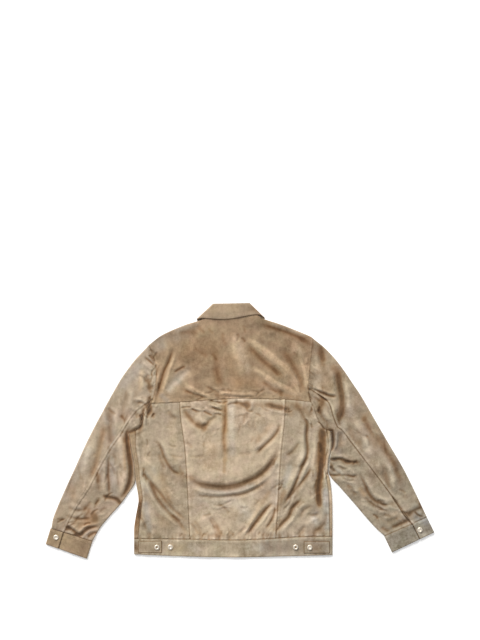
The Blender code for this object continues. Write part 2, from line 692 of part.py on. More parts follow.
def make_cuff(side):
    """The cuff band: its snap end lies at the slit, over the other end, which goes on beneath it."""
    rows, outer_cells, lower_cells, inner_cells, tuck_cells = 3, 2, 6, 4, 1
    tuck, dip, step = 20.0, 9.0, BAND_CLOTH + 0.4
    half = HALVES[side]
    share = half.slit_share
    top, hem = Line(half.cuff_top), Line(half.cuff_hem)
    outer_edge, inner_edge, slit = (Line((top.at(end), hem.at(end))) for end in (0, 1, share))
    v = even(rows, outer_edge.length)[:, None]
    outer_patch = Patch(top.between(share, 0), hem.between(share, 0), slit, outer_edge)
    lower_patch = Patch(top, hem, outer_edge, inner_edge)
    inner_patch = Patch(top.between(share, 1), hem.between(share, 1), slit, inner_edge)
    outer = outer_patch.at(to_edge(outer_cells, outer_patch.width(v[:, 0])), v)
    lower = lower_patch.at(edge_to_edge(lower_cells, lower_patch.width(v[:, 0]))[:, 1:-1], v)
    inner_width = inner_patch.width(v[:, 0])
    inner_u = np.insert(to_edge(inner_cells, inner_width), 1, dip / inner_width, axis=1)
    inner = inner_patch.at(np.flip(inner_u, axis=1), v)
    tuck_share = -np.linspace(0, 1, tuck_cells + 1)[1:] * tuck / inner_width[:, None]
    tucked = inner_patch.at(tuck_share, v)
    middle = CUFF_TOP / 2
    sunk = step * (1 - ease(edge_gaps(inner, slit) / dip))
    height = np.concatenate(
        [
            rolled(CUFF_TOP, edge_gaps(outer, outer_edge), middle),
            rolled(0.0, edge_gaps(lower, outer_edge, inner_edge), middle),
            rolled(CUFF_TOP, edge_gaps(inner, inner_edge), middle) - sunk,
            np.full(tucked.shape[:2], CUFF_TOP - step),
        ],
        axis=1,
    )
    plan = np.concatenate([outer, lower, inner, tucked], axis=1)
    first_below, first_inner = outer.shape[1] - 1, outer.shape[1] + lower.shape[1]
    faces_below = [first_below <= column < first_inner for column in range(plan.shape[1] - 1)]
    cloth(f"cuff_{side}", plan, height, faces_below, BAND_CLOTH, SUEDE_BAND)


# ---------------------------------------------------------------- waistband, tabs and collar


def make_waistband_back():
    columns, rows = 26, 2
    ends = [(WAIST_SEAM.share_near((x, -290)), HEM.share_near((x, -337))) for x in BAND_SIDE.values()]
    waist, hem = WAIST_SEAM.between(ends[0][0], ends[1][0]), HEM.between(ends[0][1], ends[1][1])
    patch = Patch(waist, hem, Line((waist.at(0), hem.at(0))), Line((waist.at(1), hem.at(1))))
    v = even(rows, 45.0)
    plan = patch.at(even(columns, patch.width(v)), v[:, None])
    cloth("waistband_back", plan, np.full(plan.shape[:2], BAND_TOP), [False] * columns, BAND_CLOTH, SUEDE_BAND)


def make_waistband_front(side):
    """From the band's side seam on the back, round the fold edge, to the closure on the lower side."""
    strip_cells, lower_cells, rows = 1, 14, 3
    half = HALVES[side]
    mirror = 1 if side == "left" else -1
    corner = (half.side_edge[-1][0], WAIST_SEAM.at(WAIST_SEAM.share_near(half.side_edge[-1]))[1])
    seam_x = BAND_SIDE[side]
    waist_seam = WAIST_SEAM.at(WAIST_SEAM.share_near((seam_x, -290)))
    hem_seam = HEM.at(HEM.share_near((seam_x, -337)))
    edge = Line((corner, half.hem_corner))
    strip_patch = Patch(Line((waist_seam, corner)), Line((hem_seam, half.hem_corner)), Line((waist_seam, hem_seam)), edge)
    end_x = mirror * CLOSURE_HALF
    waist = WAIST_SEAM.between(WAIST_SEAM.share_near(corner), WAIST_SEAM.share_near((end_x, -297)))
    hem = HEM.between(HEM.share_near(half.hem_corner), HEM.share_near((end_x, -343)))
    lower_patch = Patch(waist, hem, edge, Line((waist.at(1), hem.at(1))))
    v = even(rows, edge.length)[:, None]
    strip = strip_patch.at(to_edge(strip_cells, strip_patch.width(v[:, 0]), radius=3.0), v)
    lower = lower_patch.at(from_edge(lower_cells, lower_patch.width(v[:, 0]), radius=3.0)[:, 1:], v)
    strip_height = rolled(BAND_TOP, edge_gaps(strip, edge), BAND_TOP / 2, 3.0)
    closure = 0 if side == "left" else ease((CLOSURE_HALF + 18 - lower[..., 0]) / 16)
    lower_height = rolled(0.0, edge_gaps(lower, edge), BAND_TOP / 2, 3.0) + (BAND_CLOTH + 0.35) * closure
    plan = np.concatenate([strip, lower], axis=1)
    height = np.concatenate([strip_height, lower_height], axis=1)
    faces_below = [column >= strip.shape[1] for column in range(plan.shape[1] - 1)]
    cloth(f"waistband_front_{side}", plan, height, faces_below, BAND_CLOTH, SUEDE_BAND)


TAB_WALL = 1.8


def make_tab(side):
    outer_x, inner_x, upper_y, lower_y = HALVES[side].tab
    top = Line(((outer_x, upper_y), (inner_x, upper_y)))
    bottom = Line(((outer_x, lower_y), (inner_x, lower_y)))
    patch = Patch(top, bottom, Line((top.at(0), bottom.at(0))), Line((top.at(1), bottom.at(1))))
    plan = patch.at(np.linspace(0, 1, 4)[None, :], np.linspace(0, 1, 3)[:, None])
    height = np.full(plan.shape[:2], BAND_TOP + 0.3 + TAB_WALL)
    cloth(f"tab_{side}", plan, height, [False] * 3, TAB_WALL, SUEDE_BAND)


def make_snap(name, place, floor):
    """A ring snap cap, turned about its axis, on a face at this height."""
    bm = bmesh.new()
    verts = [bm.verts.new((radius * MM, 0, z * MM)) for radius, z in SNAP_PROFILE]
    for first, second in zip(verts, verts[1:]):
        bm.edges.new((first, second))
    mesh = bpy.data.meshes.new(name)
    bm.to_mesh(mesh)
    bm.free()
    obj = add_object(name, mesh, SNAP_METAL)
    obj.location = (place[0] * MM, place[1] * MM, (floor + 0.3) * MM)
    turn = obj.modifiers.new("Turn", "SCREW")
    turn.steps = turn.render_steps = SNAP_STEPS
    turn.use_merge_vertices = True
    turn.merge_threshold = 0.00001
    turn.use_smooth_shade = True
    return obj


FOLD_LINE_DROP = 1.2  # the collar's fold line lies this much below its top


class CollarSection(NamedTuple):
    """Plan lines and levels of the collar's leaf or of its stand, which both run from front to front."""

    sides: dict  # fold edge on each side of the neck
    back_fold: Line
    back_end: Line
    front_fold: dict
    front_end: dict
    top: float
    bottom: float
    radius: float
    wall: float


def make_collar_band(name, section, rows):
    """A flattened ring, open at the centre front: wing, fold edge, back, fold edge, wing."""
    wing_cells, back_cells = 5, 12
    v = np.linspace(0, 1, rows + 1)[:, None]
    left, right = section.sides["left"], section.sides["right"]
    back = Patch(section.back_fold, section.back_end, left, right)
    closes = {side: Line((section.front_fold[side].at(1), section.front_end[side].at(1))) for side in HALVES}
    wings = {
        side: Patch(section.front_fold[side], section.front_end[side], section.sides[side], closes[side])
        for side in HALVES
    }
    radius = section.radius
    from_close = {
        side: np.flip(from_edge(wing_cells, wings[side].width(v[:, 0]), 0.4, radius), axis=1) for side in HALVES
    }
    left_wing = wings["left"].at(from_close["left"][:, :-1], v)
    right_wing = wings["right"].at(np.flip(from_close["right"], axis=1)[:, 1:], v)
    u = edge_to_edge(back_cells, back.width(v[:, 0]), radius)
    middle = back.at(u, v)
    centre = (section.top + section.bottom) / 2
    wing_heights = [
        rolled(section.bottom, edge_gaps(wing, section.sides[side]), centre, radius)
        for side, wing in (("left", left_wing), ("right", right_wing))
    ]
    upper = rolled(section.top, edge_gaps(middle, left, right), centre, radius)
    upper[0] -= FOLD_LINE_DROP * rounding(edge_gaps(middle, left, right)[0], radius)
    plan = np.concatenate([left_wing, middle, right_wing], axis=1)
    height = np.concatenate([wing_heights[0], upper, wing_heights[1]], axis=1)
    first, last = left_wing.shape[1], left_wing.shape[1] + middle.shape[1] - 1
    faces_below = [column < first or column >= last for column in range(plan.shape[1] - 1)]
    cloth(name, plan, height, faces_below, section.wall)


def leaf_section():
    ends = {side: half.collar_side for side, half in HALVES.items()}
    sign = {"left": -1, "right": 1}
    return CollarSection(
        sides={side: Line(ends[side]) for side in HALVES},
        back_fold=Line((ends["left"][0], (0, 342), ends["right"][0])),
        back_end=COLLAR_EDGE,
        front_fold={
            side: Line((ends[side][0], (sign[side] * 34, 296), (sign[side] * 1.0, COLLAR_CLOSE[1])))
            for side in HALVES
        },
        front_end={
            side: Line((ends[side][1], HALVES[side].collar_point), (HALVES[side].collar_point, (sign[side] * 8, 240)))
            for side in HALVES
        },
        top=BODY_HEIGHT + 2.0, bottom=0.0, radius=4.0, wall=COLLAR_CLOTH,
    )


STAND_SIDES = {"left": ((-51.6, 338.6), (-85, 299.5)), "right": ((43.2, 340.6), (76.5, 303.8))}


def stand_section():
    sign = {"left": -1, "right": 1}
    return CollarSection(
        sides={side: Line(STAND_SIDES[side]) for side in HALVES},
        back_fold=Line((STAND_SIDES["left"][0], (0, 339.6), STAND_SIDES["right"][0])),
        back_end=Line((STAND_SIDES["left"][1], (-62, 305.2), (0, 310.0), (45, 314.6), (64, 312.3), STAND_SIDES["right"][1])),
        front_fold={
            side: Line((STAND_SIDES[side][0], (sign[side] * 33, 295), (sign[side] * 1.6, COLLAR_CLOSE[1])))
            for side in HALVES
        },
        front_end={
            side: Line((STAND_SIDES[side][1], (STAND_SIDES[side][1][0] * 0.72, 261), (sign[side] * 1.6, FRONT_NECK[1] + 5)))
            for side in HALVES
        },
        top=BODY_HEIGHT - 0.1, bottom=COLLAR_CLOTH + 0.4, radius=2.4, wall=CLOTH,
    )


# ---------------------------------------------------------------- build


def clear_scene():
    for obj in list(bpy.data.objects):
        bpy.data.objects.remove(obj)


def main():
    clear_scene()
    collection = bpy.data.collections.new("suede_jacket")
    bpy.context.scene.collection.children.link(collection)
    make_yoke()
    make_back_centre()
    make_waistband_back()
    make_collar_band("collar_leaf", leaf_section(), 4)
    make_collar_band("collar_stand", stand_section(), 3)
    for side, half in HALVES.items():
        make_back_side(side)
        make_front(side)
        make_outer_sleeve(side)
        make_under_sleeve(side)
        make_cuff(side)
        make_waistband_front(side)
        make_tab(side)
        make_snap(f"tab_snap_{side}", half.tab_snap, BAND_TOP + 0.3 + TAB_WALL)
        make_snap(f"band_snap_{side}", half.band_snap, BAND_TOP)
        make_snap(f"cuff_snap_{side}", half.cuff_snap, CUFF_TOP)


main()
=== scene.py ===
"""A suede trucker jacket laid flat on its front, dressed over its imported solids.

Lengths are in millimetres up to the meshes, which are in metres. +X is the wearer's right, +Y runs to the
neck and +Z up. Each cloth piece is a patch between plan lines. Its upper side follows the relief of the
cloth, and it goes round a fold edge where the garment does.
"""

from __future__ import annotations

import logging
from collections.abc import Callable, Sequence
from dataclasses import dataclass, replace
from enum import Enum

import bpy
import numpy as np
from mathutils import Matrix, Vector

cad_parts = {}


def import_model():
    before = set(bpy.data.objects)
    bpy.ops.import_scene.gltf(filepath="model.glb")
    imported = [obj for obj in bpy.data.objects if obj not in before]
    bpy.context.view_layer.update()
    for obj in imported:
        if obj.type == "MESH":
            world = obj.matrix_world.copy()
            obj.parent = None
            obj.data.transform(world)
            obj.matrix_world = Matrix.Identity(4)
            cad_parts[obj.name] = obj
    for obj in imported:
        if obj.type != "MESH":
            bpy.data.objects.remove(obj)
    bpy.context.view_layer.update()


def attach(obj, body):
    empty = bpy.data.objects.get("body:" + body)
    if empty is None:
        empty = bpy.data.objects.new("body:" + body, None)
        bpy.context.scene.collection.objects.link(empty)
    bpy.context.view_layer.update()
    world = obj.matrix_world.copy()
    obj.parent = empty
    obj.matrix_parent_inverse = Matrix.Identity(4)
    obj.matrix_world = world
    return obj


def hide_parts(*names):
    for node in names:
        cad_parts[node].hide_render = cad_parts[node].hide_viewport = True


MM = 0.001
CLOTH = 1.4  # thickness of a panel, and below of the pressed plies of band and cuffs, the collar and the tabs
BAND_CLOTH = 2.0
COLLAR_CLOTH = 1.5
TAB_WALL = 1.8
BODY_HEIGHT = 7.0  # of the upper side, and below of the waistband's and the cuffs'
BAND_TOP = 6.7
CUFF_TOP = 7.0
LEAST_HEIGHT = 3.3  # of the upper side, where it lies on the lower one
CLOSURE_HALF = 20.0  # half the width by which the fronts lap
CLOSURE_LIFT = 2.0  # that the lap gives the layers over it, and below the collar's wings
COLLAR_LIFT = 1.9
FOLD_RADIUS = 3.6
SEAM_INSET = 0.1  # from a seam's line to the edge of each piece
CORNER_INSET = 0.45  # from the underarm to the rows of cloth beside it
TOPSTITCH = (1.8, 7.0)  # from a seam to its two rows of stitches
FLAT_MARGIN = 1.02  # least flat size, as a share of the piece's area
LEAST_FILL = 0.32  # least share of its flat size that a piece fills
LIGHT_PLAN = np.array([-0.42, 0.91])  # towards the light

BEND = np.radians([0, 16, 34, 54, 72, 90])  # turns of the cloth round a fold edge
SEAM_STEPS = np.array([SEAM_INSET, 0.7, 1.7, 3.0, 5.0, 7.0, 9.2])
BAND_STEPS = SEAM_STEPS[:5]
PLAIN_STEPS = np.array([SEAM_INSET, 1.2])

Array = np.ndarray
Rule = Callable[[Array], Array]
Point = tuple[float, float]
Run = tuple[Point, ...]
Colour = tuple[float, ...]
Profile = Sequence[tuple[float, float, int]]
Material = bpy.types.Material

log = logging.getLogger("suede_jacket")


# ---------------------------------------------------------------- plan lines


def ease(share: Array | float) -> Array:
    """A smooth step from 0 to 1 over shares 0 to 1."""
    share = np.clip(share, 0, 1)
    return share * share * (3 - 2 * share)


def bell(distance: Array, width: float, middle: float = 0.0) -> Array:
    """1 where a distance is at its middle, fading over the width."""
    return np.exp(-(((distance - middle) / width) ** 2))


def fold_steps(radius: float) -> Array:
    """Steps in from a fold edge, as far in plan as an even bend of the cloth takes them."""
    return radius * (1 - np.sin(BEND[::-1]))


FOLD_STEPS = fold_steps(FOLD_RADIUS)


class Line:
    """A plan line: smooth inside each run of points, with a corner where one run meets the next."""

    STEPS = 10

    def __init__(self, *runs: Sequence[Point | Array]) -> None:
        line = np.vstack([self.smooth(np.array(run, float)) for run in runs])
        apart = np.linalg.norm(np.diff(line, axis=0), axis=1) > 1e-6
        self.points = line[np.r_[True, apart]]
        self.reach = np.r_[0, np.cumsum(np.linalg.norm(np.diff(self.points, axis=0), axis=1))]
        self.length = float(self.reach[-1])

    @classmethod
    def smooth(cls, points: Array) -> Array:
        """A Catmull-Rom curve through the points."""
        if len(points) == 2:
            return points
        padded = np.vstack([2 * points[0] - points[1], points, 2 * points[-1] - points[-2]])
        t = np.linspace(0, 1, cls.STEPS)[:, None]
        spans = []
        for a, b, c, d in zip(padded, padded[1:], padded[2:], padded[3:]):
            square, cube = 2 * a - 5 * b + 4 * c - d, 3 * b - a - 3 * c + d
            spans.append(0.5 * (2 * b + (c - a) * t + square * t**2 + cube * t**3))
        return np.vstack(spans)

    def at(self, share: Array | float) -> Array:
        """Points at these shares of the length."""
        reach = np.asarray(share) * self.length
        return np.stack([np.interp(reach, self.reach, self.points[:, k]) for k in (0, 1)], axis=-1)

    def share_near(self, point: Point) -> float:
        """Share of the length at the drawn point nearest to a place."""
        gaps = np.linalg.norm(self.points - point, axis=1)
        return float(self.reach[gaps.argmin()] / self.length)

    def between(self, start: float, end: float, steps: int = 80) -> Line:
        """The stretch from one share to another, which may run backwards."""
        points = self.at(np.linspace(start, end, steps))
        return Line(*zip(points, points[1:]))

    def stretch(self, start: Point, end: Point) -> Line:
        """The stretch between the points nearest to two places."""
        return self.between(self.share_near(start), self.share_near(end))

    def shifted(self, distance: float) -> Line:
        """The same line moved sideways, to the right of its run where the distance is positive."""
        run = np.gradient(self.points, axis=0)
        run = run / np.linalg.norm(run, axis=1)[:, None]
        points = self.points + distance * np.stack([run[:, 1], -run[:, 0]], axis=1)
        return Line(*zip(points, points[1:]))

    def near(self, places: Array, reach: float) -> Array:
        """Which places lie in the line's box with this margin."""
        low, high = self.points.min(axis=0) - reach, self.points.max(axis=0) + reach
        return ((places > low) & (places < high)).all(axis=1)

    def nearest(self, places: Array) -> tuple[Array, Array, Array]:
        """The way to each place from its nearest point here.

        Returns:
            How far each place is, the share of the length nearest to it, and the offset to it.
        """
        start, step = self.points[:-1], np.diff(self.points, axis=0)
        span = np.linalg.norm(step, axis=1)
        apart = places[:, None, :] - start[None]
        along = np.clip((apart * step).sum(axis=2) / span**2, 0, 1)
        offset = apart - along[..., None] * step
        gaps = (offset**2).sum(axis=2)
        best = gaps.argmin(axis=1)
        rows = np.arange(len(places))
        share = (self.reach[best] + along[rows, best] * span[best]) / self.length
        return np.sqrt(gaps[rows, best]), share, offset[rows, best]


def bridge(first: Line, second: Line, share: float, other: float | None = None) -> Line:
    """The straight line from one line to another, at a share of each."""
    return Line((first.at(share), second.at(share if other is None else other)))


# ---------------------------------------------------------------- the cut of each half


class Side(Enum):
    """One half of the jacket, named for its wearer."""

    LEFT = "left"
    RIGHT = "right"

    @property
    def sign(self) -> int:
        """-1 at the wearer's left, which is at -X, and 1 at the right."""
        return -1 if self is Side.LEFT else 1


@dataclass(frozen=True)
class HalfCut:
    """Driving points of one half, in plan."""

    shoulder: Run
    armhole: Run
    side_edge: Run
    side_seam: Run
    princess: Run
    sleeve_outer: Run
    sleeve_inner: Run
    elbow_seam: Run
    yoke_end: Point
    front_seam: Run
    cuff_top: Run
    cuff_hem: Run
    slit_share: float
    hem_corner: Point
    cuff_snap: Point
    tab: tuple[float, float, float, float]
    tab_snap: Point
    band_snap: Point
    band_seam_x: float
    collar_side: Run
    collar_point: Point
    stand_side: Run


HALVES = {
    Side.LEFT: HalfCut(
        shoulder=((-86, 297), (-100, 292.5), (-127, 284.5), (-165, 269), (-197, 253), (-227, 229.5)),
        armhole=(
            (-227, 229.5), (-216, 200), (-208, 173), (-206.5, 140), (-210.5, 108), (-220, 75.6),
            (-231, 57), (-239, 38), (-247, 15), (-262, 0), (-281.5, -8.3),
        ),
        side_edge=(
            (-280.4, -8), (-275, -46), (-267, -89), (-262, -138), (-255, -184), (-257, -205),
            (-262, -232), (-266.5, -262), (-267, -293),
        ),
        side_seam=(
            (-262, 0), (-262, -46), (-255, -89), (-250, -138), (-244, -184), (-249, -225), (-256, -293),
        ),
        princess=((-144, 75.6), (-140, 27), (-128.5, -59), (-121.5, -180), (-116, -294.5)),
        sleeve_outer=(
            (-227, 229.5), (-264, 190), (-289, 157), (-310, 125), (-364, 27), (-397, -38),
            (-426, -102), (-456, -167), (-483, -232), (-490, -264),
        ),
        sleeve_inner=(
            (-262.5, -134), (-266, -147), (-281, -169), (-301, -197), (-332, -232), (-359, -265),
            (-379, -300),
        ),
        elbow_seam=(
            (-217, 85), (-236, 71), (-262, 50), (-281, 24), (-302, -11), (-329, -49), (-355, -94),
            (-389, -159), (-418, -202), (-441, -242), (-455.6, -275.2),
        ),
        yoke_end=(-221, 72),
        front_seam=(
            (-293, -11), (-295, -30), (-296, -58), (-293, -100), (-292, -135),
            (-302, -162), (-323, -196), (-352, -231), (-378, -262), (-401, -292.9),
        ),
        cuff_top=((-492, -264.5), (-379, -300)),
        cuff_hem=((-505.5, -307.5), (-394, -347)),
        slit_share=0.31,
        hem_corner=(-267, -335),
        cuff_snap=(-477, -289),
        tab=(-256, -192, -298, -331),
        tab_snap=(-205, -315.5),
        band_snap=(-169, -315.5),
        band_seam_x=-256.0,
        collar_side=((-54, 341), (-98, 300)),
        collar_point=(-74, 214),
        stand_side=((-51.6, 338.6), (-85, 299.5)),
    ),
    Side.RIGHT: HalfCut(
        shoulder=((78, 301), (94, 296), (130, 284.5), (170, 269), (208, 253), (216, 247)),
        armhole=(
            (216, 247), (212, 205), (206.5, 162), (204, 121.5), (206.5, 86.5), (217, 59.5),
            (229.5, 27), (243, 8), (252, 1.5), (265.5, -3.2),
        ),
        side_edge=(
            (264, -4), (267, -38), (263.5, -59), (259, -77), (257, -111), (262, -135),
            (266, -165), (268, -200), (268.5, -250), (268.5, -287),
        ),
        side_seam=(
            (252, 1.5), (257.5, -38), (251, -74), (248.5, -111), (253.5, -135), (258.5, -184), (260.5, -287),
        ),
        princess=((142, 83.5), (137, 13.5), (129, -63.5), (122, -172), (115, -292)),
        sleeve_outer=(
            (216, 247), (248, 221), (278, 189), (302, 157), (324, 124), (345.6, 92), (383, 27),
            (421, -38), (459, -103), (491, -167), (523, -235),
        ),
        sleeve_inner=(
            (257.2, -109), (260.4, -121), (272, -137), (284, -149), (300, -167), (329, -200), (356, -232),
            (386, -265), (411, -287),
        ),
        elbow_seam=(
            (206, 113), (238, 92), (259, 73), (270, 40), (281, 11), (296, -2), (321, -35),
            (354, -78), (427, -175), (459, -225), (483.8, -253.2),
        ),
        yoke_end=(208, 78),
        front_seam=(
            (277, 2), (289, -10), (297, -36), (294, -64), (287, -90), (288, -112),
            (304, -138), (330, -168), (362, -204), (398, -242), (433.4, -276.6),
        ),
        cuff_top=((523, -235), (408, -286)),
        cuff_hem=((543, -275.4), (429, -330)),
        slit_share=0.35,
        hem_corner=(268.5, -337),
        cuff_snap=(504, -269),
        tab=(261, 191, -299, -332),
        tab_snap=(207, -316),
        band_snap=(169, -315.5),
        band_seam_x=261.0,
        collar_side=((45, 343), (86, 303)),
        collar_point=(72, 218),
        stand_side=((43.2, 340.6), (76.5, 303.8)),
    ),
}
LEFT, RIGHT = HALVES[Side.LEFT], HALVES[Side.RIGHT]

YOKE_SEAM = Line((LEFT.yoke_end, (-144, 75.6), (-8, 85), (142, 83.5), (194, 79), RIGHT.yoke_end))
NECK_SEAM = Line(((-86, 297), (-62, 304), (0, 309), (45, 313.5), (64, 311), (78, 301)))
COLLAR_EDGE = Line(
    (LEFT.collar_side[1], (-80, 302), (-39, 299), (-1, 301), (47, 310), (72, 311), RIGHT.collar_side[1])
)
WAIST_SEAM = Line(((-268, -293), (-116, -294.5), (8, -297), (115, -292), (190, -287.5), (269, -287)))
HEM = Line((LEFT.hem_corner, (-120, -341), (20, -343), (150, -340), RIGHT.hem_corner))
FRONT_NECK = (0.0, 234.0)
FRONT_WAIST_Y = -297.0
COLLAR_CLOSE_Y = 266.0


# ---------------------------------------------------------------- the relief of the cloth


@dataclass(frozen=True)
class Crease:
    """A soft ridge, or a trough where its height is negative, that fades out at both ends."""

    height: float
    half_width: float
    tone: float  # painted shade along a trough, below 0, or painted highlight along a ridge
    line: Line

    @classmethod
    def row(cls, height: float, half_width: float, tone: float, *path: float) -> Crease:
        """One row of the table."""
        return cls(height, half_width, tone, Line(tuple(zip(path[::2], path[1::2]))))


@dataclass(frozen=True)
class Gather:
    """A zone of small creases that lie roughly one way."""

    x: float
    y: float
    spread_x: float
    spread_y: float
    turn: float  # degrees from +X
    count: int
    depth: float
    half_width: float
    length: float

    def creases(self, chance: np.random.Generator) -> list[Crease]:
        """Draws the zone's creases.

        Args:
            chance: The source of their places, turns and sizes.

        Returns:
            The creases, about a third of them ridges.
        """
        made = []
        for _ in range(self.count):
            off_centre = chance.normal(size=2).clip(-1.7, 1.7) * (self.spread_x, self.spread_y)
            middle = np.array((self.x, self.y)) + off_centre
            turn = np.radians(self.turn + 17 * chance.normal())
            along = 0.5 * self.length * chance.uniform(0.6, 1.4) * np.array([np.cos(turn), np.sin(turn)])
            bow = chance.uniform(-0.3, 0.3) * np.array([-along[1], along[0]])
            depth = self.depth * chance.uniform(0.5, 1.3)
            height = depth if chance.random() < 0.36 else -depth
            path = Line((middle - along, middle + bow, middle + along))
            # Painted highlight along the ridges and painted shade along the troughs.
            tone = 0.32 * height if height > 0 else 0.55 * height
            made.append(Crease(height, self.half_width * chance.uniform(0.75, 1.35), tone, path))
        return made


@dataclass(frozen=True)
class Tint:
    """A patch where the nap lies lighter or darker, with painted shade and painted highlights among them, or
    where its hue turns.
    """

    half_width: float
    tone: float
    hue: float  # cool grey above 0, golden below
    line: Line

    @classmethod
    def row(cls, half_width: float, tone: float, hue: float, *path: float) -> Tint:
        """One row of the table."""
        return cls(half_width, tone, hue, Line(tuple(zip(path[::2], path[1::2]))))
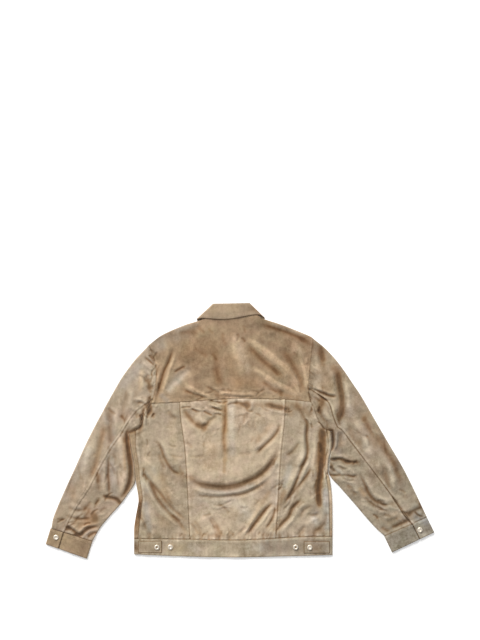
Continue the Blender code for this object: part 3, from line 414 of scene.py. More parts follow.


# Height, half width and tone of each crease, then the x and y of its path's points in turn. The tone is
# painted shade, below 0, or painted highlight.
CREASES = (
    # the crown of the back and of each sleeve
    (2, 150, 0, 0, 260, 0, -320), (3.6, 46, 0, -250, 130, -300, 60, -350, -40, -400, -140, -440, -235),
    (3.6, 46, 0, 245, 150, 300, 70, 350, -10, 410, -110, 470, -215),
    # the smile fold over the small of the back
    (-6.4, 7.5, -1.1, -124, -122, -100, -144, -62, -153, -24, -156, 8, -152, 36, -142, 60, -132, 88, -111,
     109, -82, 127, -46),
    (3, 6, 0.25, -116, -158, -62, -168, -24, -169, 10, -165, 50, -153, 88, -129, 112, -105),
    (-2.6, 5, -0.75, -114, -177, -76, -180, -35, -181, -5, -177, 27, -173, 68, -155, 104, -132),
    (2.6, 16, 0.35, -100, -108, -40, -120, 10, -116, 50, -98, 84, -66),
    # between the yoke seam and the smile fold
    (-3.2, 5.5, -0.95, 131, 22, 126, 8, 113, -16, 82, -46, 58, -70),
    (2.2, 8, 0.4, 112, 26, 100, -8, 76, -36, 48, -56), (-1.4, 6, -0.28, 8, -67, 30, -64, 54, -66),
    (-2.2, 5.6, -0.85, -20, 88, -19, 60, -20, 39, -20, 15, -25, -22, -22, -46, -20, -80),
    (1.6, 7, 0.6, -4, 70, -1, 30, -2, -10, -5, -34),
    (-3, 6, -0.75, -136, 62, -126, 46, -114, 28, -98, 11, -84, 0),
    (-2.6, 6.5, -0.6, -86, 2, -72, 14, -59, 27, -38, 40), (2.6, 9, 0.5, -98, 44, -84, 28, -78, 12),
    (-2.4, 3, -1.2, -82, 52, -68, 45, -54, 38), (-2.4, 3, -1.2, -62, 62, -44, 56, -26, 51),
    (-2.2, 2.8, -1.2, -66, 80, -48, 76, -28, 72), (2, 4, 0.6, -78, 62, -58, 52, -36, 44),
    (2, 3.5, 0.6, -70, 71, -50, 66, -28, 61), (-1.8, 3, -0.8, -114, 58, -104, 52, -96, 46),
    (-2.4, 5, -0.9, 0, 76, 22, 71, 37, 62, 39, 52), (-2, 6, -0.7, 84, 70, 100, 66, 116, 61, 138, 57, 162, 54),
    (1.6, 5, 0.3, 88, 56, 118, 50, 150, 43), (-2.2, 6, -0.6, -178, 56, -165, 38, -150, 27),
    (1.8, 4, 0.5, 27, 11, 36, 22, 48, 33), (1.6, 4, 0.5, 52, 80, 51, 66, 50, 54),
    (-1.4, 3.5, -0.35, 42, 50, 40, 30, 46, 6), (-1.2, 3, -0.3, 64, 40, 58, 22, 60, 6),
    (-2.2, 9, -0.3, -90, 22, -82, 8, -72, 20),
    # the left side back
    (-3.2, 4.6, -1.1, -219, -31, -202, -35, -192, -53, -184, -77, -162, -110, -134, -121),
    (2, 6, 0.4, -206, -26, -188, -46, -172, -74, -150, -98),
    (-2.2, 5, -0.7, -202, -58, -193, -84, -182, -108), (-1.6, 4, -0.32, -172, -68, -151, -72, -130, -74),
    (-1.2, 4, -0.24, -122, -71, -96, -72, -68, -71),
    (-5, 5.5, -1.2, -248, -110, -228, -134, -216, -160, -202, -189, -177, -221, -148, -247, -133, -266,
     -118, -286),
    (3.2, 6.5, 0.55, -250, -124, -232, -148, -218, -176, -196, -208, -168, -240, -142, -266),
    (-3.2, 5, -0.9, -234, -122, -208, -157, -185, -185, -163, -213, -145, -229, -121, -246),
    (-2.2, 5, -0.44, -235, -244, -234, -264, -220, -288), (-2.4, 5, -1, -252, -190, -250, -219, -246, -248),
    (2.2, 8, 0.4, -222, -196, -220, -230, -206, -268), (-2.4, 5, -0.48, -110, -241, -93, -260, -85, -286),
    # towards the waist seam
    (-1, 2.6, -0.45, -60, -196, -40, -204, -16, -196, 4, -186),
    (-0.8, 2.6, -0.35, -66, -206, -44, -216, -24, -210, 10, -214),
    (-1.2, 2.6, -0.6, -64, -238, -56, -252, -48, -268), (-1.6, 4, -0.6, -118, -248, -104, -262, -92, -284),
    (-2.2, 5, -0.44, -64, -229, -44, -259, -27, -290), (1.8, 10, 0.36, -84, -228, -66, -254, -52, -286),
    (-5, 5.5, -1.35, 113, -194, 98, -206, 83, -223, 68, -243, 54, -261, 36, -287),
    (3.4, 6, 0.6, 84, -196, 68, -218, 52, -242, 38, -268, 22, -287), (-1.4, 5, -0.28, 78, -182, 57, -207),
    (-1.6, 4, -0.32, 36, -260, 22, -274, 8, -286), (-3, 4.5, -1, 114, -202, 113, -222, 103, -246, 86, -270),
    (2.2, 5, 0.5, 100, -206, 88, -234, 74, -258),
    # the right side back
    (-4.8, 4.8, -1.25, 171, 74, 186, 42, 200, 18, 199, -20, 202, -60, 192, -90, 178, -124, 165, -154, 148,
     -184, 129, -214),
    (3.2, 8, 0.5, 186, 26, 187, -13, 188, -60, 176, -92, 164, -124, 148, -156, 132, -182),
    (-3.6, 6, -1.2, 220, -94, 197, -127, 181, -147, 158, -176, 138, -196),
    (2.2, 5.5, 0.5, 208, -86, 188, -110, 170, -132),
    (-3.8, 5.5, -1.1, 194, -182, 162, -209, 151, -235, 132, -254, 115, -276),
    (3.2, 6, 0.6, 206, -184, 178, -210, 164, -236, 146, -258, 128, -280),
    (-2.4, 5, -0.48, 216, -203, 192, -217, 180, -240), (-2.2, 4.5, -0.44, 234, -226, 216, -231, 198, -227),
    (2.4, 7, 0.6, 234, -238, 212, -244, 196, -258), (-3, 8, -0.8, 257, -215, 246, -255, 214, -278),
    (-2.2, 5, -0.44, 198, -257, 170, -288), (-3.6, 11, -1.6, 241, 18, 243, -20, 243, -66, 240, -112),
    (-4.8, 7.5, -2.1, 243, -66, 239, -106, 232, -144, 231, -180, 237, -218),
    (2.4, 5, 0.55, 253, -92, 247, -128, 240, -168, 243, -204),
    (2.6, 6, 0.5, 221, -2, 222, -50, 216, -100, 209, -140, 210, -180),
    (-1.8, 6, -0.6, 183, -30, 162, -58, 141, -71), (1.8, 9, 0.3, 60, 40, 74, 10, 82, -30),
    (1.6, 10, 0.3, -60, -30, -66, -70, -58, -100), (1.6, 9, 0.3, -180, -20, -176, -60, -160, -84),
    # the yoke
    (-4.6, 5.5, -1.1, -161, 226, -169, 190, -184, 160, -192, 134, -201, 100, -206, 80),
    (3, 6, 0.8, -150, 214, -163, 188, -174, 150, -184, 116, -192, 88),
    (3.2, 12, 1.6, -108, 162, -120, 152, -146, 128, -166, 106, -182, 88),
    (-2.4, 4, -1, -160, 154, -146, 163, -126, 173), (2.6, 5, 1.4, -131, 125, -110, 112, -89, 100, -54, 88),
    (-2.6, 4.5, -0.9, -138, 110, -116, 101, -92, 92, -60, 82),
    (-2, 4, -0.8, -78, 120, -56, 109, -40, 104, -16, 108),
    (2.2, 4.5, 1.7, -62, 119, -38, 107, -16, 99, 36, 96, 84, 99),
    (-1.6, 3, -0.7, -30, 92, 0, 90, 34, 89, 66, 91), (1.2, 3, 0.4, -10, 112, 30, 106, 74, 110),
    (3.2, 13, 1.8, 4, 266, 7, 240, 15, 207, 26, 176, 38, 148),
    (-2.2, 11, -0.65, -48, 232, -45, 200, -40, 156, -32, 112),
    (3.6, 7.5, 2.1, 38, 254, 58, 234, 97, 202, 143, 161, 171, 124, 184, 86),
    (-3, 9, -1, 34, 236, 58, 208, 84, 182, 118, 156, 143, 135),
    (3, 6, 1.8, 48, 170, 82, 149, 113, 127, 150, 109, 181, 87), (-2.2, 6, -0.8, 72, 134, 105, 112, 140, 92),
    (-3, 10, -0.9, 130, 228, 142, 204, 168, 162, 184, 122, 190, 92),
    (3.4, 4.6, 2.1, 158, 240, 170, 222, 183, 198, 194, 162, 199, 108),
    (-2.4, 7, -1, 66, 285, 100, 277, 128, 268, 174, 250, 210, 230),
    (-1.8, 10, -0.6, -150, 258, -120, 262, -90, 258), (-1.6, 9, -0.6, -112, 222, -90, 206, -66, 196),
    (1.6, 8, 0.4, -116, 222, -96, 206, -78, 188), (-2, 4, -0.9, 10, 262, 14, 250, 10, 236),
    (-1.8, 3.5, -0.9, 20, 250, 28, 244, 34, 236),
    # left sleeve: the head, along the armhole
    (-3.2, 3.2, -1.2, -240, 198, -237, 196, -224, 184, -209, 172, -204, 166),
    (-2.4, 2.8, -1, -228, 204, -220, 194, -211, 184), (2.2, 4, 0.6, -244, 186, -230, 172, -214, 160),
    (-3.6, 6, -1.2, -232, 154, -230, 138, -225, 122, -219, 106),
    (2.6, 6, 0.7, -246, 162, -246, 134, -242, 108), (1.8, 5, 0.6, -222, 152, -216, 134, -214, 116),
    (-2, 4, -0.9, -262, 72, -248, 74, -236, 68, -222, 55),
    (2.8, 5, 0.8, -270, 84, -254, 84, -238, 80, -226, 70),
    # left sleeve: the sleeve folding over the body at the underarm
    (-4, 5.4, -1.8, -217, 98, -221, 88, -225, 74, -222, 58, -229, 42, -230, 30),
    (-4.4, 4.8, -1.9, -235, 66, -239, 54, -245, 30, -246, 12, -256, 3, -274, -3, -294, -6),
    (2.6, 4.5, 0.7, -232, 66, -236, 46, -238, 26, -242, 8),
    # left sleeve: long soft bands down the outer sleeve
    (-2.4, 9, -0.8, -288, 112, -291, 90, -296, 50, -300, 22), (1.8, 8, 0.5, -272, 112, -276, 80, -280, 50),
    (-2.2, 9, -0.45, -331, 66, -332, 30, -331, -10, -329, -48), (2.2, 8, 0.5, -312, 56, -316, 20, -320, -20),
    (-2.6, 9, -0.6, -342, 26, -350, -14, -362, -60, -374, -104, -386, -144),
    (2.2, 10, 0.55, -376, -14, -386, -50, -398, -96, -408, -130),
    # left sleeve: the elbow
    (-3, 4.2, -1.1, -337, -62, -335, -90, -336, -120, -334, -150, -334, -182),
    (2.8, 6, 0.8, -348, -80, -347, -120, -346, -160, -342, -178),
    (2, 8, 0.4, -318, -70, -318, -110, -316, -150),
    (-3.8, 5.2, -1.8, -356, -176, -342, -181, -326, -184, -312, -189, -298, -206),
    (-1.6, 6, -0.5, -362, -110, -362, -140, -358, -168),
    # left sleeve: beside the body
    (-5.6, 6, -2.2, -287, 16, -286, -4, -285, -30, -280, -67, -275, -104, -278, -140, -290, -168, -308, -190),
    (3, 7, 0.6, -304, -4, -302, -50, -296, -96, -294, -136, -304, -164),
    # left sleeve: bunched over the cuff
    (-4.4, 4.2, -1.4, -461, -256, -450, -262, -435, -269, -413, -285, -400, -274, -387, -265, -358, -260),
    (3, 5, 0.5, -452, -248, -434, -256, -414, -270, -398, -258, -376, -250),
    (-3, 5, -1.1, -392, -292, -384, -284, -372, -278, -362, -282),
    (-2, 5, -0.8, -452, -230, -430, -238, -404, -240, -380, -238),
    (-1.8, 6, -0.6, -448, -206, -428, -216, -404, -218), (-1.8, 7, -0.4, -426, -110, -440, -150, -452, -190),
    (1.8, 9, 0.4, -410, -150, -424, -190, -440, -220), (-1.8, 6, -0.6, -380, -190, -394, -210, -408, -226),
    (0, 22, -0.5, -420, -224, -400, -244, -384, -262),
    # right sleeve: the head
    (-2.8, 8, -0.9, 236, 232, 240, 218, 245, 196, 248, 180), (2, 8, 0.5, 224, 206, 230, 172, 234, 140),
    (-5.4, 10, -1.55, 283, 170, 285, 150, 289, 119, 295, 92, 297, 64, 291, 34, 281, 18),
    (3.4, 8, 0.8, 300, 148, 306, 110, 310, 72, 306, 44), (2.6, 7, 0.3, 266, 166, 270, 130, 276, 100),
    (-3.4, 3.6, -1.3, 214, 112, 229, 105, 246, 97, 264, 91, 284, 90),
    (-2.4, 3, -1, 222, 98, 232, 93, 246, 83, 264, 78), (2.4, 4, 0.6, 226, 114, 246, 106, 266, 100, 280, 101),
    (2.4, 6, 0.9, 236, 76, 244, 56, 256, 36, 268, 22), (-2.2, 4, -0.7, 230, 60, 238, 40, 250, 20),
    # right sleeve: the slit beside the body
    (-7, 3.6, -2.8, 266, 12, 268, 0, 270, -20, 269, -40, 265, -60),
    (3.4, 3.6, 0.5, 278, 2, 280, -16, 279, -36, 275, -54), (-2.2, 7, -0.5, 296, 0, 292, -26, 290, -52),
    # right sleeve: the inner elbow
    (-3.6, 4.2, -1.4, 256, -76, 268, -79, 290, -79, 310, -86, 346, -88),
    (2.4, 5, 0.5, 268, -68, 292, -70, 318, -74), (-3, 4, -1.2, 256, -96, 264, -101, 282, -115, 296, -122),
    (-3, 4, -1.2, 266, -124, 284, -123, 306, -123, 326, -126, 338, -118),
    (3, 5, 0.8, 276, -90, 296, -96, 314, -105, 336, -124), (2.2, 5, 0.5, 284, -136, 312, -138, 336, -146),
    (-2.6, 6, -1, 302, -146, 318, -156, 334, -178),
    (-4, 4.6, -1.4, 336, -108, 344, -122, 356, -146, 368, -174, 384, -192, 408, -202, 436, -199),
    (3.2, 5.5, 0.8, 356, -128, 368, -152, 386, -176, 408, -188, 430, -186),
    (-2.8, 4.5, -1, 352, -182, 366, -192, 386, -206, 412, -216),
    (2.4, 5, 0.6, 344, -196, 366, -208, 392, -224),
    # right sleeve: down the outer sleeve
    (-2.4, 8, -0.8, 398, -84, 408, -110, 418, -140, 424, -170),
    (2.8, 7, 0.8, 416, -84, 423, -108, 430, -140, 434, -168), (2, 10, 0.5, 330, 30, 346, -10, 362, -44),
    (-1.8, 9, -0.5, 352, 22, 372, -20, 392, -56), (-1.8, 8, -0.5, 316, 20, 320, -10, 336, -44),
    (1.8, 9, 0.2, 404, -60, 428, -110, 450, -150), (-1.6, 8, -0.5, 440, -130, 456, -160, 470, -192),
    (-3.4, 3.2, -1.9, 424, -172, 442, -195, 460, -222, 474, -242, 484, -256),
    # right sleeve: above the cuff
    (-3.4, 7, -1.3, 466, -234, 480, -224, 494, -216, 512, -208),
    (-3.2, 6, -1.3, 424, -266, 442, -259, 460, -250, 480, -242),
    (-2.4, 6, -0.9, 398, -260, 410, -270, 424, -276), (2.4, 6, 0.5, 404, -240, 426, -234, 450, -224),
)

# Centre x and y, spread x and y, turn, count, depth, half width and length of each gather.
GATHERS = (
    (-70, 60, 42, 14, -18, 12, 1.4, 2.6, 24), (70, 58, 60, 13, -8, 10, 1.1, 2.8, 24),
    (-20, 98, 90, 7, -4, 16, 1, 2.4, 30), (-216, 120, 9, 48, 80, 14, 1.3, 2.8, 24),
    (-232, 150, 18, 40, 130, 12, 1.3, 3, 26), (212, 150, 9, 50, 98, 14, 1.3, 2.8, 26),
    (228, 70, 16, 34, 120, 10, 1.4, 3, 26), (-252, 20, 16, 26, 108, 10, 1.6, 3.2, 26),
    (-415, -262, 40, 14, 20, 14, 1.6, 3.2, 26), (-376, -232, 26, 30, 52, 8, 1.3, 3.4, 30),
    (455, -222, 42, 16, -28, 14, 1.6, 3.2, 26), (398, -196, 34, 26, -32, 9, 1.4, 3.4, 34),
    (300, -104, 22, 34, -16, 12, 1.5, 3.2, 30), (-326, -120, 24, 60, 96, 10, 1.2, 3.6, 36),
    (-300, 30, 18, 44, 108, 8, 1.3, 3.6, 34), (0, -282, 200, 7, 66, 34, 0.9, 2.6, 16),
    (-190, -160, 40, 70, -52, 14, 1.2, 3.4, 36), (180, -180, 40, 60, 58, 16, 1.3, 3.4, 36),
    (0, -210, 90, 36, 12, 12, 0.9, 3.6, 34), (0, -20, 90, 46, 62, 12, 0.8, 3.6, 30),
    (232, -60, 12, 70, 92, 12, 1.2, 3, 34), (-240, -90, 10, 70, 88, 10, 1.1, 3, 30),
    (-40, 215, 80, 34, 118, 10, 0.9, 4, 34), (140, 180, 44, 44, -48, 10, 1, 3.6, 34),
    (350, -20, 36, 60, -58, 10, 1, 4.2, 40), (-400, -120, 26, 60, 66, 10, 1, 4.2, 40),
)

# Half width, tone and hue of each tint, then the x and y of its path's points in turn. The tone is the nap's
# own lighter and darker patches together with painted shade and painted highlights.
TINTS = (
    # the yoke
    (26, -0.28, 0.2, -20, 300, 5, 255), (15, -0.25, 0.3, 30, 295, 110, 262),
    (12, -0.7, 0.3, 190, 244, 226, 224), (20, -0.12, 0.6, -190, 250, -130, 262),
    (12, -0.35, 1, -146, 154, -172, 112), (13, -0.4, 0.4, -48, 294, -40, 290),
    (10, -0.45, 0, -2, 250, 0, 236), (9, -0.4, 0.3, 70, 240, 118, 224), (11, -0.3, 0, 56, 150, 84, 146),
    (9, -0.3, 0, -140, 116, -124, 104), (9, -0.45, 0.7, -148, 130, -122, 166),
    (8, 0.5, 0.5, -150, 272, -100, 286), (6, 0.5, 0.5, 110, 285, 190, 259),
    (10, 0.2, 0.7, -212, 214, -188, 224), (11, -0.25, -0.3, -48, 160, -40, 130),
    (15, -0.1, 0.8, -236, 236, -200, 240), (12, 0.45, 0.2, 170, 224, 190, 192),
    (30, 0, -0.4, -120, 215, -60, 225), (16, -0.05, -0.35, -10, 190, 10, 120), (10, 2.6, 0.1, 4, 93, 34, 93),
    (8, -0.6, 0, -44, 94, -28, 88), (8, 0.3, 0.9, -192, 94, -178, 80), (9, 0.5, 0, 144, 172, 164, 140),
    (7, -0.5, 0, 130, 93, 180, 85), (14, 0, -0.4, 20, 130, 60, 125), (14, 0.2, 0.2, 100, 110, 130, 125),
    (12, 0.35, 0.35, 18, 220, 40, 164), (7, 0.6, 0, 66, 232, 104, 202, 140, 170),
    (5, 0.5, 0, 100, 138, 140, 116, 170, 98), (5, 0.7, 0, 162, 230, 182, 200, 194, 160),
    (5, 0.8, 0, -124, 114, -100, 103), (9, 0.3, 0.2, -150, 244, -140, 222),
    (8, 0.3, -0.3, -190, 122, -196, 104), (13, 0.55, -0.2, -56, 326, 8, 328),
    (11, -0.75, 0.3, 56, 330, 80, 308),
    # the centre and side backs
    (9, -0.7, 0.3, 14, 64, 60, 68, 140, 58), (8, -0.6, 0, 146, 74, 176, 70),
    (9, -0.45, -0.2, 144, 50, 156, 44), (9, -0.35, 0.2, -100, -134, -24, -144, 40, -130, 104, -88),
    (16, 0.12, -0.3, -70, -20, -54, -60), (10, -0.4, 0, -170, -66, -160, -80),
    (9, -0.45, 0, -146, -118, -112, -128), (10, -0.35, 0.4, 140, -72, 156, -66),
    (10, 0.35, 0.1, 188, -66, 200, -92), (9, 0.3, 0.6, 152, -100, 138, -150),
    (10, 0.35, 0.1, -176, -218, -160, -222), (8, -0.5, 0.2, -204, -230, -192, -236),
    (9, -0.4, 0.4, 216, -210, 224, -222), (9, -0.55, 0.2, 206, -282, 240, -272),
    (9, -0.5, 0.4, 80, -282, 130, -284), (8, 0.45, 0.4, -246, -140, -232, -160),
    (11, 0.5, -0.2, -236, -40, -232, -90), (9, 0.15, 0.7, -236, -200, -226, -270),
    (16, -0.05, -0.6, -196, -130, -180, -180), (10, -0.4, 0, -140, 48, -110, 30),
    (9, -0.8, -0.1, -92, 18, -78, 2), (9, -0.6, 0, 36, 76, 44, 56), (10, -0.5, 0, 66, -26, 104, 10),
    (9, -0.35, 0, 92, 72, 160, 58, 196, 62), (7, -0.4, 0, 116, -270, 148, -232, 172, -196),
    (6, -0.35, -0.2, 96, -168, 66, -218, 44, -254), (8, -0.6, -0.3, 138, -166, 118, -214),
    (5, 0.45, 0.2, 198, -110, 166, -164, 144, -212), (8, -0.5, -0.5, 232, -40, 225, -90, 240, -125),
    (8, -0.25, -1, -24, 78, -22, 0), (7, 0, -0.7, -23, 0, -21, -78), (5, -0.3, -0.6, -22, -78, -24, -112),
    (8, -0.4, -0.6, 241, -60, 238, -120, 234, -200), (10, 0.2, 0.4, -6, 66, -2, -60),
    (13, -0.3, 0.2, 75, 0, 68, -45), (13, 0.5, -0.3, -165, 20, -160, -40),
    (14, 0.15, -0.3, -72, -96, -40, -90), (6, -0.35, 0, -150, -282, 0, -284),
    (7, -0.6, 0, 218, -230, 226, -238), (4, 0.5, 0.3, 251, -112, 249, -160, 246, -200),
    (12, -0.28, 0.5, 110, -90, 114, -210), (11, -0.6, 0.1, -46, -262, -42, -284),
    (12, -0.15, 0, -110, -130, -200, -125), (11, -0.22, -0.1, -20, -118, 20, -118),
    (16, 0.3, 0.4, -90, -180, 0, -192, 40, -228), (9, -0.35, 0.3, -235, -170, -225, -200),
    (16, -0.1, -0.3, -190, -250, -150, -240), (11, 0.15, 0.9, 250, -165, 254, -262),
    (9, -0.5, 0, 242, 6, 242, -14), (10, -0.1, -0.8, 242, -20, 240, -80),
    (6, -0.1, -0.7, 232, -130, 232, -190), (12, 0.4, 0.2, 52, -176, 18, -246),
    (7, -0.35, 0.6, -84, -156, -20, -163, 54, -146), (9, -0.3, 0.5, -104, -140, -60, -158, 0, -163, 48, -152),
    (10, 0.35, 0.2, -124, -194, -60, -200), (9, -0.3, 0.3, 86, -130, 80, -180),
    (8, 0.35, 0.4, -238, -116, -222, -140), (4, 0.8, 1, 262, -14, 260, -60, 256, -108),
    (8, 0.3, 0.3, -214, -104, -196, -150), (12, 0.3, 0.2, -74, -20, -60, -30),
    (8, 0.5, 0.1, -152, -236, -144, -248), (12, 0.25, 0.2, -110, -222, -20, -212),
    (9, 0.5, 0.2, 216, -240, 222, -250), (6, 0.5, 0, -70, 66, -46, 74), (9, -0.4, -0.3, 172, 62, 206, 44),
    (9, 0.5, 0.1, 186, 206, 178, 216), (8, -0.6, 0, -215, 44, -238, 60), (12, 0.1, 0.5, 220, -230, 225, -245),
    # the left sleeve
    (9, -0.45, 0.1, -262, 100, -268, 80), (7, -0.8, 0, -250, -2, -258, -10), (8, -0.6, 0, -226, 84, -232, 60),
    (9, 0.5, 0.1, -232, 160, -230, 140), (13, 0.1, 0.35, -392, -56, -418, -110, -452, -180),
    (14, -0.1, 0.6, -254, 170, -296, 124), (9, -0.45, 0.5, -388, -268, -400, -284),
    (9, 0.65, -0.1, -302, 110, -300, 50), (12, -0.5, 0.5, -332, 30, -324, -50),
    (9, 0.1, 0.1, -390, -50, -400, -110), (8, -0.05, -0.5, -350, 0, -364, -64, -376, -116),
    (8, 0.35, -0.5, -246, 160, -250, 112), (8, 0.4, 0.2, -352, 50, -338, 20),
    (9, -0.5, 0.1, -272, -312, -256, -318), (14, -0.25, -0.6, -418, -258, -388, -250),
    (11, 0.5, 0.3, -415, -213, -408, -233), (11, -0.8, 0, -374, -232, -368, -250),
    (11, -0.4, 0.2, -460, -240, -440, -254), (12, -0.55, -0.1, -434, -160, -424, -188),
    (5, 0, -1, -283, -20, -277, -90), (5, 0.3, -0.8, -294, -24, -291, -104),
    (8, 0.5, -0.1, -304, -110, -298, -158), (10, -0.5, 0.2, -370, -236, -380, -222),
    (9, 0.2, 0.3, -450, -140, -462, -168), (10, 0.4, -0.1, -470, -282, -440, -296),
    (9, 0.3, 0, -392, -312, -386, -320), (13, -0.1, 0.6, -330, -80, -322, -170),
    (8, -0.4, 0.3, -472, -268, -440, -266), (9, 0.4, 0.1, -430, -240, -405, -238),
    (9, 0.35, -0.2, -284, -130, -296, -160), (7, -0.45, 0.4, -352, -90, -357, -135),
    (8, 0.35, -0.1, -362, -40, -378, -90), (11, 0.3, 0, -332, -70, -328, -96),
    # the right sleeve
    (11, 0.8, 0.1, 232, 165, 224, 112), (10, -0.8, 0, 234, 205, 240, 176), (13, 0, -0.4, 240, 170, 262, 110),
    (7, -0.35, 0.1, 372, 36, 404, -20, 440, -100), (10, -0.3, -0.7, 272, 168, 284, 156),
    (12, 0.35, 0.1, 340, -104, 352, -140), (11, 0.4, 0.1, 306, -132, 330, -160),
    (10, -0.4, 0.4, 440, -84, 452, -104), (10, 0.45, 0.3, 490, -204, 504, -216),
    (9, -1.2, -0.4, 242, 82, 236, 56), (5, -1.1, 0.9, 262, -78, 276, -80),
    (5, -0.6, 0.6, 264, -100, 270, -108), (7, 0.7, 0.2, 282, -110, 292, -112),
    (10, -0.5, 0, 344, -34, 348, -56), (8, -0.5, -0.2, 300, -88, 338, -92),
    (9, -0.7, 0.2, 440, -110, 448, -124), (7, 0.45, 0, 318, 72, 329, 27, 362, -32, 375, -76),
    (8, -0.35, -0.3, 354, 27, 391, -22, 435, -92), (12, -0.4, -0.3, 440, -232, 424, -244),
    (9, -0.5, 0, 508, -200, 514, -216), (8, -0.5, 0, 352, 30, 364, 44), (8, 0.3, 0.3, 296, 20, 300, -20),
    (10, 0.4, 0, 446, -148, 462, -166), (8, 0.5, 0, 480, -212, 488, -220), (8, -0.5, 0, 500, -188, 510, -204),
    (9, 0.4, 0, 356, -128, 386, -160), (10, 0.5, 0.1, 446, -290, 458, -298),
    (9, -0.5, 0.5, 512, -270, 530, -264), (8, -1.1, 0.3, 285, 40, 283, 20),
    (9, -0.25, 0.4, 282, -10, 286, -60), (9, 0.55, 0.2, 316, 90, 322, 40),
    (10, -0.5, 0.2, 345, 45, 395, -30, 448, -135), (12, 0.5, 0.1, 356, -40, 370, -90),
    (9, 0.1, -1, 345, -160, 354, -172), (9, -0.5, 0, 432, -195, 440, -205),
    (13, -0.45, 0.5, 465, -238, 490, -228), (12, -0.1, 0.9, 500, -235, 520, -245),
    (11, -0.35, 0, 400, -245, 390, -240), (9, -0.5, 0.3, 273, -28, 279, -50),
    (8, 0.45, 0.2, 280, -102, 288, -120), (5, -0.6, 0, 256, -112, 276, -134),
    (10, 0.5, 0, 392, -92, 404, -108), (9, -0.35, 0, 346, -4, 344, -36), (9, -0.35, -0.2, 236, 124, 248, 104),
    (8, -0.5, 0, 238, 64, 256, 58), (8, 0.4, 0.2, 312, 66, 310, 40),
    # the bands
    (6, -1, 0, 398, -284, 412, -316), (8, -0.7, 0, 404, -292, 416, -312), (14, 0.3, 0.3, 40, -318, 70, -318),
    (22, -0.7, 0.9, 96, -316, 260, -318), (16, -0.25, 0.1, -262, -316, -170, -318),
    (12, -0.3, -0.4, 200, -314, 230, -322), (10, 0.3, 0.3, -110, -314, -96, -324),
    (11, 0.3, 0, -44, -316, -30, -324), (7, -0.55, 0.2, -266, -300, -262, -330),
    (13, 0, -0.5, -160, -318, -140, -318),
)


class Relief:
    """Heights of the cloth, over the surface that the jacket lies on."""

    FADE = 0.22  # share of a crease's length over which each end fades
    CLOSURE_SLOPE = 22.0
    CLOSURE_TOP_Y = 262.0
    WING_REACH = 78.0
    WING_SLOPE = 26.0

    def __init__(self) -> None:
        chance = np.random.default_rng(23)
        self.creases = [Crease.row(*row) for row in CREASES]
        for row in GATHERS:
            self.creases += Gather(*row).creases(chance)
        self.tints = [Tint.row(*row) for row in TINTS]
        self.spines = (Line(((-72, 300), (-48, 242))), Line(((70, 302), (46, 242))))
        self.waves = [self._waves(chance, size, count) for size, count in ((62.0, 16), (21.0, 26))]

    @staticmethod
    def _waves(chance: np.random.Generator, size: float, count: int) -> Array:
        """Plane waves near one wavelength, as rows of direction x and y, and phase."""
        turn = chance.uniform(0, 2 * np.pi, count)
        pull = 2 * np.pi / (size * chance.uniform(0.7, 1.5, count))
        phase = chance.uniform(0, 2 * np.pi, count)
        return np.stack([pull * np.cos(turn), pull * np.sin(turn), phase], axis=1)

    def ripple(self, places: Array) -> Array:
        """A gentle unevenness of the whole cloth."""
        rise = np.zeros(len(places))
        for waves, height in zip(self.waves, (0.75, 0.26)):
            bent = places + 5 * np.sin(places[:, ::-1] / 31.0)
            total = np.sin(bent @ waves[:, :2].T + waves[:, 2]).sum(axis=1)
            rise += height * total / np.sqrt(len(waves) / 2)
        return rise

    def creased(self, places: Array) -> tuple[Array, Array]:
        """Rise, and painted shade and highlight, that the creases give at each place."""
        rise, shade = np.zeros(len(places)), np.zeros(len(places))
        for crease in self.creases:
            close = crease.line.near(places, 2.8 * crease.half_width)
            if not close.any():
                continue
            gap, share, offset = crease.line.nearest(places[close])
            ends = ease(share / self.FADE) * ease((1 - share) / self.FADE)
            s = gap / crease.half_width
            trough = crease.height < 0
            form = np.exp(-1.15 * (s * s + 0.015) ** 0.72) if trough else np.exp(-s * s)
            lip = 0.22 * bell(s, 0.7, 1.9) if trough else 0.0
            rise[close] += crease.height * ends * (form - lip)
            # Painted shade is stronger on a trough's wall that faces away from the light.
            lee = np.tanh(1.6 * (offset @ LIGHT_PLAN) / crease.half_width) if trough else 0.0
            shade[close] += crease.tone * ends * np.exp(-(s**2.2)) * (1 + 0.55 * lee)
        return rise, shade

    def wings(self, places: Array) -> Array:
        """Share of the lift that the collar's wings give the layers over them."""
        gap = np.min([spine.nearest(places)[0] for spine in self.spines], axis=0)
        return ease((self.WING_REACH - gap) / self.WING_SLOPE)

    def top(self, places: Array) -> Array:
        """Height of the upper side, never sunk into the layer below."""
        rise = BODY_HEIGHT + self.creased(places)[0] + self.ripple(places)
        beside = ease((CLOSURE_HALF + self.CLOSURE_SLOPE - np.abs(places[:, 0])) / self.CLOSURE_SLOPE)
        closure = beside * ease((self.CLOSURE_TOP_Y - places[:, 1]) / 20)
        least = LEAST_HEIGHT + CLOSURE_LIFT * closure + COLLAR_LIFT * self.wings(places)
        return least + 0.5 * np.logaddexp(0, (rise - least) / 0.5)

    def _tinted(self, places: Array, part: str) -> Array:
        """Sum of one number of the tints at each place."""
        total = np.zeros(len(places))
        for tint in self.tints:
            close = tint.line.near(places, 2.2 * tint.half_width)
            if close.any():
                gap = tint.line.nearest(places[close])[0]
                total[close] += getattr(tint, part) * np.exp(-((gap / tint.half_width) ** 2.4))
        return total

    def tone(self, places: Array) -> Array:
        """How dark or light the tints are: the nap's own patches, with painted shade and highlights."""
        return self._tinted(places, "tone")

    def hue(self, places: Array) -> Array:
        """How cool, above 0, or golden the tints are."""
        return self._tinted(places, "hue")

    def shade(self, places: Array) -> Array:
        """Painted shade, below 0, or painted highlight of the creases, with the tints' tone."""
        return self.creased(places)[1] + self.tone(places)

    def lower(self, places: Array, side: Side) -> Array:
        """Height of the lower side's outer face, flat but for what lies beneath it."""
        lift = COLLAR_LIFT * self.wings(places)
        if side is Side.RIGHT:
            lift = lift + CLOSURE_LIFT * ease((CLOSURE_HALF + 26 - places[:, 0]) / 18)
        return lift


RELIEF = Relief()


# ---------------------------------------------------------------- seams


